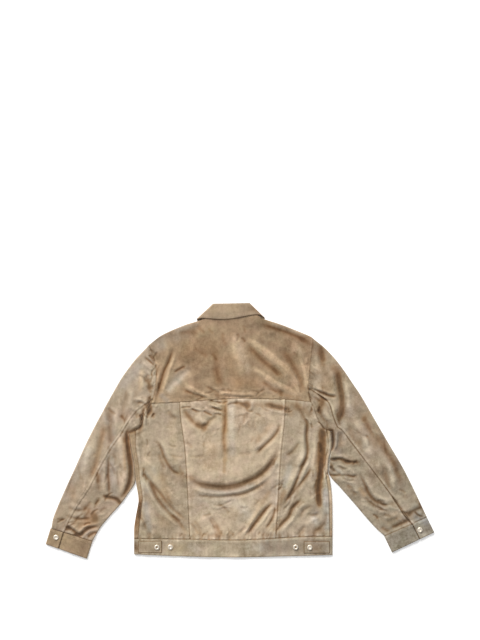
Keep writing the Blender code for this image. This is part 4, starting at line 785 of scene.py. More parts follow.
@dataclass(frozen=True)
class Seam:
    """One of a piece's seams. The piece that lies over carries the topstitching."""

    line: Line
    over: bool
    puckers: float = 0.3
    # How deep the groove is, with the shade painted along it, and how much highlight is painted on the ridge
    # beside it.
    dark: float = 1.0
    light: float = 0.4

    def form(self, places: Array) -> tuple[Array, Array]:
        """Rise, and painted shade and highlight, that the seam gives at each place."""
        close = self.line.near(places, 40)
        rise, shade = np.zeros(len(places)), np.zeros(len(places))
        if not close.any():
            return rise, shade
        gap, share, _ = self.line.nearest(places[close])
        run = share * self.line.length
        fine = np.sin(run / 1.9 + 2.2 * np.sin(run / 17.0))
        wave = 0.6 * fine + np.sin(run / 4.3 + 1.7 * np.sin(run / 29.0))
        puckered = self.puckers * wave * np.exp(-((gap / 11.0) ** 1.5)) * ease(gap / 2.0)
        if self.over:
            form = 0.75 * (1 - ease((gap - 7.5) / 4)) - 0.9 * min(1.0, self.dark) * bell(gap, 0.8)
            form = form - 0.3 * bell(gap, 0.7, 1.8) - 0.3 * bell(gap, 0.8, 7.0)
            # Painted shade along the seam's groove and a painted highlight on the ridge beside it.
            tint = -0.6 * self.dark * bell(gap, 1.0) + self.light * bell(gap, 1.9, 4.0)
        else:
            form = -1.0 * min(1.0, self.dark) * bell(gap, 2.0)
            # Painted shade along the seam's groove and a painted highlight beside it.
            tint = -1.1 * self.dark * bell(gap, 1.9) + 0.5 * self.light * bell(gap, 1.9, 4.6)
        rise[close] = form + puckered
        # Puckers are painted lighter where they rise and darker where they sink.
        shade[close] = tint + 0.45 * puckered
        return rise, shade


@dataclass
class Surface:
    """The upper side of one piece: a height rule and the piece's seams."""

    rule: Rule
    seams: tuple[Seam, ...] = ()
    tone: Rule | None = None

    def height(self, places: Array) -> Array:
        """Height at each place."""
        return self.rule(places) + sum(seam.form(places)[0] for seam in self.seams)

    def shade(self, places: Array) -> Array:
        """Painted shade and highlight at each place, with the nap's own patches."""
        base = self.tone(places) if self.tone else np.zeros(len(places))
        return base + sum(seam.form(places)[1] for seam in self.seams)

    def layer(self, plan: Array, below: bool = False) -> Grid:
        """A layer of cloth with this upper side, or with its outer face below."""
        return Grid(plan, on_grid(self.height, plan), on_grid(self.shade, plan), below)


GROUND = Surface(lambda places: np.zeros(len(places)))


def cloth_surface(*seams: Seam) -> Surface:
    """The upper side of a panel that follows the relief of the whole back."""
    return Surface(RELIEF.top, seams, RELIEF.shade)


def rippled(level: float, share: float, *seams: Seam) -> Surface:
    """The upper side of a flat band at this height, with a share of the cloth's unevenness."""
    return Surface(lambda places: level + share * RELIEF.ripple(places), seams, RELIEF.tone)


# ---------------------------------------------------------------- patches and grids


class Patch:
    """A plan surface between four lines: two across, at v 0 and v 1, and two along, at u 0 and u 1."""

    def __init__(self, across_start: Line, across_end: Line, along_start: Line, along_end: Line) -> None:
        self.across = across_start, across_end
        self.along = along_start, along_end

    def at(self, u: Array, v: Array, right_share: Array | None = None) -> Array:
        """Points at u across and v along. The right side's own shares set where on it each row ends."""
        wide, deep = np.asarray(u, float)[..., None], np.asarray(v, float)[..., None]
        start, end = self.across
        left = self.along[0].at(v)
        right = self.along[1].at(v if right_share is None else right_share)
        first = start.at(u) - (1 - wide) * start.at(0) - wide * start.at(1)
        last = end.at(u) - (1 - wide) * end.at(0) - wide * end.at(1)
        return (1 - wide) * left + wide * right + (1 - deep) * first + deep * last

    def width(self, v: Array, right_share: Array | None = None) -> Array:
        """Straight width of each row."""
        v = np.asarray(v, float)
        ends = [self.at(np.full(v.shape, u), v, right_share) for u in (0.0, 1.0)]
        return np.linalg.norm(ends[1] - ends[0], axis=-1)

    def rows(self, v: Array, cell: float, head: Array, tail: Array) -> Array:
        """Places in rows at shares v, each graded across."""
        return self.at(graded(self.width(v), cell, head, tail), v[:, None])

    def rows_past_fold(
        self, v: Array, cell: float, tail: Array, fold: Array, right_share: Array | None = None
    ) -> Array:
        """Places in rows that go on from a fold edge at u 0, without those on the edge itself."""
        u = 1 - graded(self.width(v, right_share), cell, tail, fold)[:, ::-1][:, 1:]
        return self.at(u, v[:, None], None if right_share is None else right_share[:, None])


def graded(length: Array | float, cell: float, head: Array, tail: Array) -> Array:
    """Shares of each row: fixed steps in from both ends, and even cells between them.

    Args:
        length: Length of each row.
        cell: Largest cell between the steps.
        head: Steps from the start, rising.
        tail: Steps from the end, rising.

    Returns:
        One row of shares for each length.
    """
    length = np.atleast_1d(np.asarray(length, float))[:, None]
    cells = max(1, int(np.ceil((length.max() - head[-1] - tail[-1]) / cell)))
    squeeze = np.minimum(1, 0.8 * length / (head[-1] + tail[-1]))
    first, last = head * squeeze / length, 1 - tail[::-1] * squeeze / length
    middle = first[:, -1:] + (last[:, :1] - first[:, -1:]) * np.linspace(0, 1, cells + 1)[1:-1]
    return np.concatenate([first, middle, last], axis=1)


def in_runs(stops: Sequence[float], cells: Sequence[int]) -> Array:
    """Shares through these stops, with this many even cells between each two."""
    runs = [np.linspace(a, b, n + 1)[1:] for a, b, n in zip(stops, stops[1:], cells)]
    return np.concatenate([[stops[0]], *runs])


def on_grid(rule: Rule, plan: Array) -> Array:
    """A rule's values on a grid of places."""
    return rule(plan.reshape(-1, 2)).reshape(plan.shape[:-1])


def edge_gaps(plan: Array, *edges: Line) -> Array:
    """Distance of each grid point to the nearest of these fold edges."""
    return np.min([on_grid(lambda places: edge.nearest(places)[0], plan) for edge in edges], axis=0)


def rounding(gap: Array, radius: float = FOLD_RADIUS) -> Array:
    """Share of its half height that a layer keeps this far from a fold edge: 0 at the edge, 1 inside."""
    return np.sqrt(1 - (1 - np.clip(gap / radius, 0, 1)) ** 2)


@dataclass
class Grid:
    """A cloth piece or one of its layers as rows and columns of places, before it has a wall."""

    plan: Array
    height: Array
    shade: Array
    below: bool | Array = False  # whether the outer face is the lower one, for all or for each column
    left_out: bool | Array = False  # whether there is no cloth, for all or for each cell

    def space(self) -> Array:
        """Places in metres, in rows and columns."""
        return np.dstack([self.plan, self.height]) * MM

    def raised(self, by: Array | float) -> Grid:
        """The layer moved up."""
        return replace(self, height=self.height + by)

    def rounded(self, gap: Array, middle: float = BODY_HEIGHT / 2, radius: float = FOLD_RADIUS) -> Grid:
        """The layer brought round to the middle height at fold edges this far off."""
        return replace(self, height=middle + (self.height - middle) * rounding(gap, radius))

    def rolled(self, *edges: Line, middle: float = BODY_HEIGHT / 2, radius: float = FOLD_RADIUS) -> Grid:
        """The layer brought round to the middle height at these fold edges."""
        return self.rounded(edge_gaps(self.plan, *edges), middle, radius)

    @classmethod
    def joined(cls, *parts: Grid) -> Grid:
        """Several layers side by side, as one piece."""
        names = ("plan", "height", "shade")
        stacks = [np.concatenate([getattr(part, name) for part in parts], axis=1) for name in names]
        below = np.repeat([part.below for part in parts], [part.plan.shape[1] for part in parts])[:-1]
        return cls(*stacks, below)


@dataclass(frozen=True)
class Lay:
    """How a cloth piece lies."""

    node: str
    slot: str
    held: str
    rests_on: tuple[str, ...]


# ---------------------------------------------------------------- node trees


class Value:
    """A node socket in an expression. Operators add Math nodes to its tree."""

    def __init__(self, tree: Tree, socket: bpy.types.NodeSocket) -> None:
        self.tree = tree
        self.socket = socket

    def _math(self, operation: str, *values: Value | float) -> Value:
        """A Math node on these values."""
        inputs = dict(enumerate(values))
        return self.tree.node("ShaderNodeMath", {"operation": operation}, inputs)

    def __add__(self, other: Value | float) -> Value:
        """Sum."""
        return self._math("ADD", self, other)

    def __radd__(self, other: float) -> Value:
        """Sum with a number first."""
        return self._math("ADD", other, self)

    def __sub__(self, other: Value | float) -> Value:
        """Difference."""
        return self._math("SUBTRACT", self, other)

    def __rsub__(self, other: float) -> Value:
        """Difference with a number first."""
        return self._math("SUBTRACT", other, self)

    def __mul__(self, other: Value | float) -> Value:
        """Product."""
        return self._math("MULTIPLY", self, other)

    def __rmul__(self, other: float) -> Value:
        """Product with a number first."""
        return self._math("MULTIPLY", other, self)

    def clamped(self) -> Value:
        """The value kept between 0 and 1."""
        return self._math("MINIMUM", self._math("MAXIMUM", self, 0.0), 1.0)


class Tree:
    """A node tree, and the one way that nodes are added to it."""

    def __init__(self, tree: bpy.types.NodeTree) -> None:
        self.tree = tree

    def node(
        self, kind: str, settings: dict | None = None, inputs: dict | None = None, output: int | str = 0
    ) -> Value:
        """Adds a node.

        Args:
            kind: The node's type.
            settings: Its properties, which are set first.
            inputs: Values or links of its sockets, by name or number.
            output: The output that is returned.

        Returns:
            The output as a value.
        """
        made = self.tree.nodes.new(kind)
        for name, setting in (settings or {}).items():
            if name == "ramp":
                self._set_ramp(made.color_ramp, setting)
            else:
                setattr(made, name, setting)
        self.feed(made, inputs or {})
        return Value(self, made.outputs[output]) if made.outputs else Value(self, None)

    def feed(self, node: bpy.types.Node, inputs: dict) -> None:
        """Gives a node's sockets, by name or number, their values or links."""
        for name, value in inputs.items():
            if isinstance(value, Value):
                self.tree.links.new(value.socket, node.inputs[name])
            else:
                node.inputs[name].default_value = value

    @staticmethod
    def _set_ramp(ramp: bpy.types.ColorRamp, stops: Sequence[tuple[float, Colour]]) -> None:
        """Sets a colour ramp's stops."""
        while len(ramp.elements) > 1:
            ramp.elements.remove(ramp.elements[-1])
        for number, (place, colour) in enumerate(stops):
            element = ramp.elements[0] if number == 0 else ramp.elements.new(place)
            element.position = place
            element.color = (*colour, 1)

    def attribute(self, name: str) -> Value:
        """A number that the piece's points carry."""
        return self.node("ShaderNodeAttribute", {"attribute_name": name}, {}, "Fac")

    def mixed(
        self, share: Value | float, first: Value | Colour, second: Value | Colour, blend: str = "MIX"
    ) -> Value:
        """Two colours mixed."""
        inputs = {0: share, 6: first, 7: second}
        return self.node("ShaderNodeMix", {"data_type": "RGBA", "blend_type": blend}, inputs, 2)

    def noise(
        self, place: Value, scale: float, detail: float = 3.0, rough: float = 0.55, bend: float = 0.0
    ) -> Value:
        """A noise texture's value at a place."""
        inputs = {"Vector": place, "Scale": scale, "Detail": detail, "Roughness": rough, "Distortion": bend}
        return self.node("ShaderNodeTexNoise", {}, inputs)

    def moved(self, place: Value, shift: tuple, turn: float = 0.0, size: tuple = (1, 1, 1)) -> Value:
        """Coordinates moved, turned about Z and scaled."""
        inputs = {"Vector": place, "Location": shift, "Rotation": (0, 0, turn), "Scale": size}
        return self.node("ShaderNodeMapping", {}, inputs)


def new_material(name: str) -> tuple[Material, Tree, bpy.types.Node, Value]:
    """A material, its tree, its Principled shader and the piece's own coordinates."""
    material = bpy.data.materials.new(name)
    material.use_nodes = True
    tree = Tree(material.node_tree)
    shader = material.node_tree.nodes["Principled BSDF"]
    return material, tree, shader, tree.node("ShaderNodeTexCoord", {}, {}, "Object")


def linear(red: int, green: int, blue: int) -> Colour:
    """A screen colour in linear light, with full alpha."""
    parts = [c / 255 for c in (red, green, blue)]
    return (*[p / 12.92 if p <= 0.04045 else ((p + 0.055) / 1.055) ** 2.4 for p in parts], 1.0)


def scaled(colour: Colour, by: float) -> Colour:
    """A colour made lighter or darker."""
    return (*[min(1.0, part * by) for part in colour[:3]], 1.0)


# ---------------------------------------------------------------- finishes


@dataclass(frozen=True)
class Suede:
    """Brushed suede: a nap that lies light and dark in patches, over a fine grain, with painted shade and
    highlights from the piece's shade attribute.
    """

    name: str
    tone: tuple[int, int, int]
    tone_low: tuple[int, int, int]  # towards the hem and the cuffs
    seed: float
    contrast: float = 1.0
    turning: float = 1.3  # how far patches lean to cool and to golden

    RAMP = (
        (0.0, (0.60, 0.56, 0.50)), (0.3, (0.84, 0.82, 0.79)), (0.5, (1.0, 1.0, 1.0)),
        (0.7, (1.16, 1.17, 1.17)), (1.0, (1.38, 1.40, 1.42)),
    )
    ROSY = (1.05, 0.985, 0.95, 1)
    MOSSY = (0.955, 1.005, 0.985, 1)
    COOL = (0.88, 0.985, 1.17, 1)
    GOLDEN = (1.05, 0.93, 0.79, 1)
    # Painted shade for troughs, seams and slits, a deeper painted shade for the darkest of them, and a
    # painted highlight for ridges; the tints' darker and lighter nap goes through them too.
    PAINTED_SHADE = (0.62, 0.47, 0.345, 1)
    DEEP_PAINTED_SHADE = (0.41, 0.41, 0.44, 1)
    PAINTED_HIGHLIGHT = (1.42, 1.46, 1.5, 1)

    def material(self) -> Material:
        """Builds the material."""
        material, tree, shader, place = new_material(self.name)
        own = tree.moved(place, (self.seed, self.seed * 0.37, 0.0))
        broad = tree.noise(own, 12.0, 3.0, 0.5, 0.5) - 0.5
        patches = tree.noise(own, 44.0, 6.0, 0.66, 0.9) - 0.5
        specks = tree.noise(own, 150.0, 4.0, 0.7, 0.4) - 0.5
        stroked = tree.moved(own, (0, 0, 0), 0.35, (1.0, 0.4, 1.0))
        strokes = tree.noise(stroked, 110.0, 3.0, 0.6, 0.8) - 0.5
        grain = tree.noise(own, 620.0, 2.0, 0.6) - 0.5
        warm = tree.noise(tree.moved(own, (3.1, 1.7, 0.0)), 22.0, 3.0, 0.6, 0.8)
        slanted = tree.moved(own, (7.7, 0.9, 0.0), -0.9, (1.0, 0.3, 1.0))
        crossed = tree.noise(slanted, 74.0, 4.0, 0.62, 0.6) - 0.5
        shade = tree.attribute("shade")
        nap = broad * 1.25 + patches * 0.95 + specks * 0.75 + strokes * 0.3 + crossed * 0.45 + grain * 0.5
        level = (nap * self.contrast + 0.5).clamped()
        ends = tree.node("ShaderNodeSeparateXYZ", {}, {0: place}, 1)
        down = (0.5 - ends * 2.2 + broad * 0.6).clamped()
        base = tree.mixed(down, linear(*self.tone), linear(*self.tone_low))
        relative = tree.node("ShaderNodeValToRGB", {"ramp": self.RAMP}, {0: level})
        colour = tree.mixed(1.0, base, relative, "MULTIPLY")
        hue = tree.mixed(((warm - 0.5) * 2.6 + 0.5).clamped(), self.MOSSY, self.ROSY)
        colour = tree.mixed(1.0, colour, hue, "MULTIPLY")
        turn = tree.attribute("hue") + (warm - 0.5) * self.turning
        # Cool and golden by hue, then painted shade and painted highlight by the shade attribute.
        tints = (
            (turn, self.COOL), (turn * -1.0, self.GOLDEN),
            (shade * -0.85, self.PAINTED_SHADE), (shade * -0.6 - 0.45, self.DEEP_PAINTED_SHADE), (shade, self.PAINTED_HIGHLIGHT),
        )
        for share, tint in tints:
            colour = tree.mixed(share.clamped(), colour, tint, "MULTIPLY")
        height = tree.noise(own, 900.0, 2.0, 0.7) * 0.4 + specks * 1.1 + strokes * 0.6 + crossed * 0.8
        bump = tree.node("ShaderNodeBump", {}, {"Strength": 0.5, "Distance": 0.0012, "Height": height})
        tree.feed(shader, {
            "Base Color": colour, "Roughness": (patches * 0.16 + 0.88).clamped(),
            "Sheen Weight": 0.18, "Sheen Roughness": 0.45, "Sheen Tint": (1.0, 0.93, 0.82, 1),
            "Specular IOR Level": 0.18, "Normal": bump,
        })
        return material


@dataclass(frozen=True)
class Thread:
    """Twisted sewing thread."""

    name: str = "thread"
    tone: tuple[int, int, int] = (196, 174, 142)

    def material(self) -> Material:
        """Builds the material."""
        material, tree, shader, place = new_material(self.name)
        base = linear(*self.tone)
        colour = tree.mixed(tree.noise(place, 700.0, 2.0, 0.6), scaled(base, 0.8), scaled(base, 1.15))
        tree.feed(shader, {"Base Color": colour, "Roughness": 0.6, "Sheen Weight": 0.2})
        return material


@dataclass(frozen=True)
class SnapMetal:
    """Polished pale gold metal, lightly brushed by wear."""

    name: str = "snap_metal"
    tone: tuple[int, int, int] = (250, 238, 220)
    roughness: float = 0.34
    metallic: float = 0.55

    def material(self) -> Material:
        """Builds the material."""
        material, tree, shader, place = new_material(self.name)
        wear = tree.noise(place, 900.0, 3.0, 0.6)
        base = linear(*self.tone)
        colour = tree.mixed(wear, scaled(base, 0.82), base)
        rough = (wear * 0.2 + (self.roughness - 0.1)).clamped()
        tree.feed(shader, {"Base Color": colour, "Roughness": rough, "Metallic": self.metallic})
        return material


@dataclass(frozen=True)
class Paper:
    """The plain pale floor."""

    name: str = "floor"

    def material(self) -> Material:
        """Builds the material."""
        material, tree, shader, place = new_material(self.name)
        fine = tree.noise(place, 3.0, 2.0, 0.5)
        colour = tree.mixed(fine, (0.95, 0.95, 0.95, 1), (0.97, 0.97, 0.97, 1))
        tree.feed(shader, {
            "Base Color": colour, "Roughness": 0.9, "Emission Color": (1, 1, 1, 1), "Emission Strength": 0.3,
        })
        return material


# ---------------------------------------------------------------- making pieces


class Workshop:
    """Turns grids, profiles and stitch rows into finished pieces on the frame."""

    def __init__(self) -> None:
        self.stitch_tree = StitchTree().build()
        self.thread = Thread().material()

    @staticmethod
    def _linked(name: str, mesh: bpy.types.Mesh) -> bpy.types.Object:
        """An object at the origin with this mesh."""
        piece = bpy.data.objects.new(name, mesh)
        bpy.context.scene.collection.objects.link(piece)
        return piece

    @staticmethod
    def _baked(piece: bpy.types.Object) -> None:
        """Applies the piece's modifiers to its mesh."""
        graph = bpy.context.evaluated_depsgraph_get()
        mesh = bpy.data.meshes.new_from_object(
            piece.evaluated_get(graph), preserve_all_data_layers=True, depsgraph=graph
        )
        piece.modifiers.clear()
        old, piece.data = piece.data, mesh
        bpy.data.meshes.remove(old)

    @staticmethod
    def _grounded(mesh: bpy.types.Mesh) -> None:
        """Raises any point of the wall that a tight corner pushed below the ground."""
        places = np.empty(len(mesh.vertices) * 3, np.float32)
        mesh.vertices.foreach_get("co", places)
        places[2::3] = np.maximum(places[2::3], 0)
        mesh.vertices.foreach_set("co", places)

    @staticmethod
    def _faces(grid: Grid) -> tuple[Array, float]:
        """The grid's faces, all wound to face outwards, and their area in square metres."""
        rows, columns = grid.height.shape
        number = np.arange(rows * columns).reshape(rows, columns)
        quads = np.stack([number[:-1, :-1], number[:-1, 1:], number[1:, 1:], number[1:, :-1]], axis=-1)
        kept = np.broadcast_to(~np.asarray(grid.left_out), (rows - 1, columns - 1))
        quads, below = quads[kept], np.broadcast_to(grid.below, kept.shape)[kept]
        corners = grid.space().reshape(-1, 3)[quads]
        normal = np.cross(corners[:, 2] - corners[:, 0], corners[:, 3] - corners[:, 1])
        if (normal[:, 2] * np.where(below, -1, 1)).sum() < 0:
            quads = quads[:, ::-1]
        return quads, float(np.linalg.norm(normal, axis=1).sum() / 2)

    @staticmethod
    def _flat_size(grid: Grid, area: float) -> tuple[float, float]:
        """Width and length of the piece when it is laid flat, from its longest paths across and along."""
        space = grid.space()
        long = float(np.linalg.norm(np.diff(space, axis=0), axis=2).sum(axis=0).max())
        wide = float(np.linalg.norm(np.diff(space, axis=1), axis=2).sum(axis=1).max())
        wide = max(wide, area / long * FLAT_MARGIN)
        return min(wide, area / long / LEAST_FILL), long

    def cloth(self, lay: Lay, grid: Grid, wall: float, finish: Material) -> bpy.types.Object:
        """One cloth piece with its wall, in place of its solid.

        Args:
            lay: The solid that it replaces, and how it lies.
            grid: Its outer face.
            wall: Thickness of the cloth.
            finish: Its material.

        Returns:
            The piece.
        """
        quads, area = self._faces(grid)
        wide, long = self._flat_size(grid, area)
        used = np.unique(quads)
        index = np.zeros(grid.height.size, int)
        index[used] = np.arange(len(used))
        mesh = bpy.data.meshes.new(lay.node + "_cloth")
        mesh.from_pydata(grid.space().reshape(-1, 3)[used].tolist(), [], index[quads].tolist())
        values = {"shade": grid.shade.reshape(-1)[used], "hue": RELIEF.hue(grid.plan.reshape(-1, 2)[used])}
        for name, value in values.items():
            mesh.attributes.new(name, "FLOAT", "POINT").data.foreach_set("value", value.astype(np.float32))
        piece = self._linked(lay.node + "_cloth", mesh)
        shell = piece.modifiers.new("Wall", "SOLIDIFY")
        shell.thickness = wall * MM
        shell.offset = -1
        shell.use_even_offset = False
        self._baked(piece)
        self._grounded(piece.data)
        piece.data.shade_smooth()
        piece.data.set_sharp_from_angle(angle=np.radians(58))
        piece.data.materials.append(finish)
        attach(piece, "root")
        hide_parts(lay.node)
        log.info("%s: %d faces", piece.name, len(piece.data.polygons))
        return piece

    def lathe(
        self, node: str, profile: Profile, place: Point, floor: float, finishes: Sequence[Material]
    ) -> bpy.types.Object:
        """A turned piece, in place of its solid.

        Args:
            node: The solid that it replaces.
            profile: Radius, height and finish number, from the axis on top round to the axis below.
            place: Its centre in plan.
            floor: Height of its base.
            finishes: Its materials.

        Returns:
            The piece.
        """
        steps = 48
        turn = np.linspace(0, 2 * np.pi, steps, endpoint=False)
        x, y = place
        points, rings, faces, slots = [], [], [], []
        for radius, height, _ in profile:
            start = len(points)
            if radius == 0:
                points.append((x, y, floor + height))
                rings.append([start] * steps)
            else:
                points += [(x + radius * np.cos(t), y + radius * np.sin(t), floor + height) for t in turn]
                rings.append(list(range(start, start + steps)))
        for number, (upper, lower) in enumerate(zip(rings, rings[1:])):
            for k in range(steps):
                beside = (k + 1) % steps
                face = list(dict.fromkeys([upper[k], lower[k], lower[beside], upper[beside]]))
                if len(face) > 2:
                    faces.append(face)
                    slots.append(profile[number][2])
        mesh = bpy.data.meshes.new(node + "_cap")
        mesh.from_pydata((np.array(points) * MM).tolist(), [], faces)
        mesh.polygons.foreach_set("material_index", slots)
        mesh.shade_smooth()
        mesh.set_sharp_from_angle(angle=np.radians(50))
        piece = self._linked(node + "_cap", mesh)
        for finish in finishes:
            mesh.materials.append(finish)
        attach(piece, "root")
        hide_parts(node)
        log.info("%s: %d faces", piece.name, len(mesh.polygons))
        return piece

    def stitches(self, name: str, rows: Sequence[Array], slot: str = "suede") -> bpy.types.Object:
        """Rows of machine stitches along paths on the cloth.

        Args:
            name: The piece's name.
            rows: Paths, each an array of points in millimetres.
            slot: Not used.

        Returns:
            The piece.
        """
        points, edges = [], []
        for row in rows:
            start = len(points)
            points += (row * MM).tolist()
            edges += [(k, k + 1) for k in range(start, len(points) - 1)]
        mesh = bpy.data.meshes.new(name)
        mesh.from_pydata(points, edges, [])
        piece = self._linked(name, mesh)
        sewn = piece.modifiers.new("Stitches", "NODES")
        sewn.node_group = self.stitch_tree
        sizes = {"Pitch": 3.6 * MM, "Length": 2.7 * MM, "Thickness": 0.62 * MM, "Material": self.thread}
        for item in self.stitch_tree.interface.items_tree:
            if item.in_out == "INPUT" and item.name in sizes:
                sewn[item.identifier] = sizes[item.name]
        self._baked(piece)
        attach(piece, "root")
        log.info("%s: %d faces", piece.name, len(piece.data.polygons))
        return piece


@dataclass(frozen=True)
class StitchTree:
    """Geometry nodes that sew a row of stitches along each edge path."""

    seed: int = 5

    def build(self) -> bpy.types.NodeTree:
        """Builds the tree."""
        group = bpy.data.node_groups.new("Stitch row", "GeometryNodeTree")
        face = group.interface
        face.new_socket(name="Geometry", in_out="INPUT", socket_type="NodeSocketGeometry")
        for name in ("Pitch", "Length", "Thickness"):
            face.new_socket(name=name, in_out="INPUT", socket_type="NodeSocketFloat")
        face.new_socket(name="Material", in_out="INPUT", socket_type="NodeSocketMaterial")
        face.new_socket(name="Geometry", in_out="OUTPUT", socket_type="NodeSocketGeometry")
        tree = Tree(group)
        entry = group.nodes.new("NodeGroupInput")
        path, pitch, length, thickness, material = [Value(tree, entry.outputs[k]) for k in range(5)]
        curve = tree.node("GeometryNodeMeshToCurve", {}, {"Mesh": path})
        row = tree.node("GeometryNodeResampleCurve", {"mode": "LENGTH"}, {"Curve": curve, "Length": pitch})
        tangent = tree.node("GeometryNodeInputTangent")
        turned = tree.node("FunctionNodeAlignRotationToVector", {"axis": "Z"}, {"Vector": tangent})
        bead = tree.node("GeometryNodeMeshUVSphere", {}, {"Segments": 6, "Rings": 4, "Radius": 0.5})
        spread = {2: 0.86, 3: 1.08, "Seed": self.seed}
        vary = tree.node("FunctionNodeRandomValue", {"data_type": "FLOAT"}, spread, 1)
        size = tree.node("ShaderNodeCombineXYZ", {}, {0: thickness, 1: thickness, 2: length * vary})
        placing = {"Points": row, "Instance": bead, "Rotation": turned, "Scale": size}
        placed = tree.node("GeometryNodeInstanceOnPoints", {}, placing)
        real = tree.node("GeometryNodeRealizeInstances", {}, {"Geometry": placed})
        smooth = tree.node("GeometryNodeSetShadeSmooth", {}, {"Geometry": real})
        done = tree.node("GeometryNodeSetMaterial", {}, {"Geometry": smooth, "Material": material})
        tree.node("NodeGroupOutput", {}, {0: done})
        return group


def stitch_path(line: Line, surface: Surface, aside: float, trim: float = 2.0, lift: float = 0.12) -> Array:
    """A path beside a plan line, on a surface.

    Args:
        line: The seam or edge.
        surface: The cloth that is sewn.
        aside: How far to the right of the line's run the path lies.
        trim: Length left off at each end.
        lift: How far the thread's middle lies over the cloth.

    Returns:
        Points in millimetres.
    """
    moved = line.shifted(aside)
    share = trim / moved.length
    steps = max(4, int(moved.length / 3.0))
    places = moved.at(np.linspace(share, 1 - share, steps))
    return np.column_stack([places, surface.height(places) + lift])


# ---------------------------------------------------------------- the back


@dataclass
class BackPanels:
    """The yoke, the centre back and the two side backs."""

    shop: Workshop
    finishes: dict[str, Material]
    cell: float = 2.1

    def __post_init__(self) -> None:
        """Draws the panels' seams and their upper sides."""
        self.princess = {side: Line(half.princess) for side, half in HALVES.items()}
        self.armhole = {side: Line(half.armhole) for side, half in HALVES.items()}
        self.side_seam = {side: Line(half.side_seam) for side, half in HALVES.items()}
        # Each seam's last numbers set its groove and the shade and highlight painted along it.
        armholes = {side: Seam(line, True, 0.4, 0.5) for side, line in self.armhole.items()}
        waist = Seam(WAIST_SEAM, False, 1.0, 0.9)
        self.yoke_surface = cloth_surface(Seam(YOKE_SEAM, True, 0.4, 0.7), *armholes.values())
        self.centre_surface = cloth_surface(
            Seam(YOKE_SEAM, False, 0.4, 0.7), waist, Seam(self.princess[Side.LEFT], True, 0.3, 0.6),
            Seam(self.princess[Side.RIGHT], True, 0.3, 0.3, 0.7),
        )
        self.side_surface = {
            side: cloth_surface(
                Seam(YOKE_SEAM, False, 0.4, 0.6), waist, Seam(self.princess[side], False, 0.3, princess_shade),
                armholes[side], Seam(self.side_seam[side], True, 0.3, side_seam_shade),
            )
            for side, princess_shade, side_seam_shade in ((Side.LEFT, 0.7, 0.3), (Side.RIGHT, 0.5, 0.9))
        }

    def _laid(self, node: str, grid: Grid, rests_on: tuple[str, ...], finish: str) -> None:
        """Makes one panel."""
        self.shop.cloth(Lay(node, "suede", "laid", rests_on), grid, CLOTH, self.finishes[finish])

    def yoke(self) -> None:
        """The yoke, from the yoke seam to the neck seam and to both shoulder seams on the fold edge."""
        sides = [
            line.between(line.share_near(HALVES[side].yoke_end), 0) for side, line in self.armhole.items()
        ]
        patch = Patch(YOKE_SEAM, Line(LEFT.shoulder[::-1], NECK_SEAM.points, RIGHT.shoulder), *sides)
        v = graded(190.0, self.cell, SEAM_STEPS, FOLD_STEPS)[0]
        plan = patch.rows(v, self.cell, SEAM_STEPS, SEAM_STEPS)
        gap = edge_gaps(plan, Line(LEFT.shoulder), Line(RIGHT.shoulder))
        grid = self.yoke_surface.layer(plan).rounded(gap).raised(0.3 * (1 - rounding(gap)))
        self._laid("yoke", grid, ("front_left", "front_right"), "yoke")

    def centre(self) -> None:
        """The centre back panel, between the princess seams."""
        left, right = self.princess.values()
        yoke = YOKE_SEAM.stretch(LEFT.princess[0], RIGHT.princess[0])
        patch = Patch(yoke, WAIST_SEAM.stretch(LEFT.princess[-1], RIGHT.princess[-1]), left, right)
        v = graded(left.length, self.cell, SEAM_STEPS, SEAM_STEPS)[0]
        grid = self.centre_surface.layer(patch.rows(v, self.cell, SEAM_STEPS, SEAM_STEPS))
        self._laid("back_centre", grid, ("front_left", "front_right"), "centre")

    def side(self, side: Side) -> None:
        """A side back, from the princess seam out to the armhole and, below it, to the side seam."""
        half, inner = HALVES[side], self.princess[side]
        armhole = self.armhole[side].stretch(half.yoke_end, half.side_seam[0])
        outer = Line(armhole.points, self.side_seam[side].points)
        yoke = YOKE_SEAM.stretch(half.yoke_end, half.princess[0])
        patch = Patch(yoke, WAIST_SEAM.stretch(half.side_seam[-1], half.princess[-1]), outer, inner)
        v = graded(inner.length, self.cell, SEAM_STEPS, SEAM_STEPS)[0]
        grid = self.side_surface[side].layer(patch.rows(v, self.cell, SEAM_STEPS, SEAM_STEPS))
        self._laid(f"back_side_{side.value}", grid, (f"front_{side.value}",), f"side_{side.value}")

    def sew(self) -> None:
        """Double rows of topstitching beside each seam."""
        rows = []
        for aside in TOPSTITCH:
            rows.append(stitch_path(YOKE_SEAM, self.yoke_surface, -aside, 1.0))
            for side, half in HALVES.items():
                armhole, side_back = self.armhole[side], self.side_surface[side]
                end, corner = armhole.share_near(half.yoke_end), armhole.share_near(half.side_seam[0])
                sewn = (
                    (self.princess[side], self.centre_surface, 1.0),
                    (self.side_seam[side], side_back, 5.0),
                    (armhole.between(0.02, end), self.yoke_surface, 1.0),
                    (armhole.between(end, corner), side_back, 1.0),
                )
                rows += [stitch_path(line, surface, -side.sign * aside, trim) for line, surface, trim in sewn]
        self.shop.stitches("back_stitching", rows)

    def build(self) -> None:
        """Builds the panels and their stitching."""
        self.yoke()
        self.centre()
        for side in Side:
            self.side(side)
        self.sew()


# ---------------------------------------------------------------- pieces that wrap round an edge


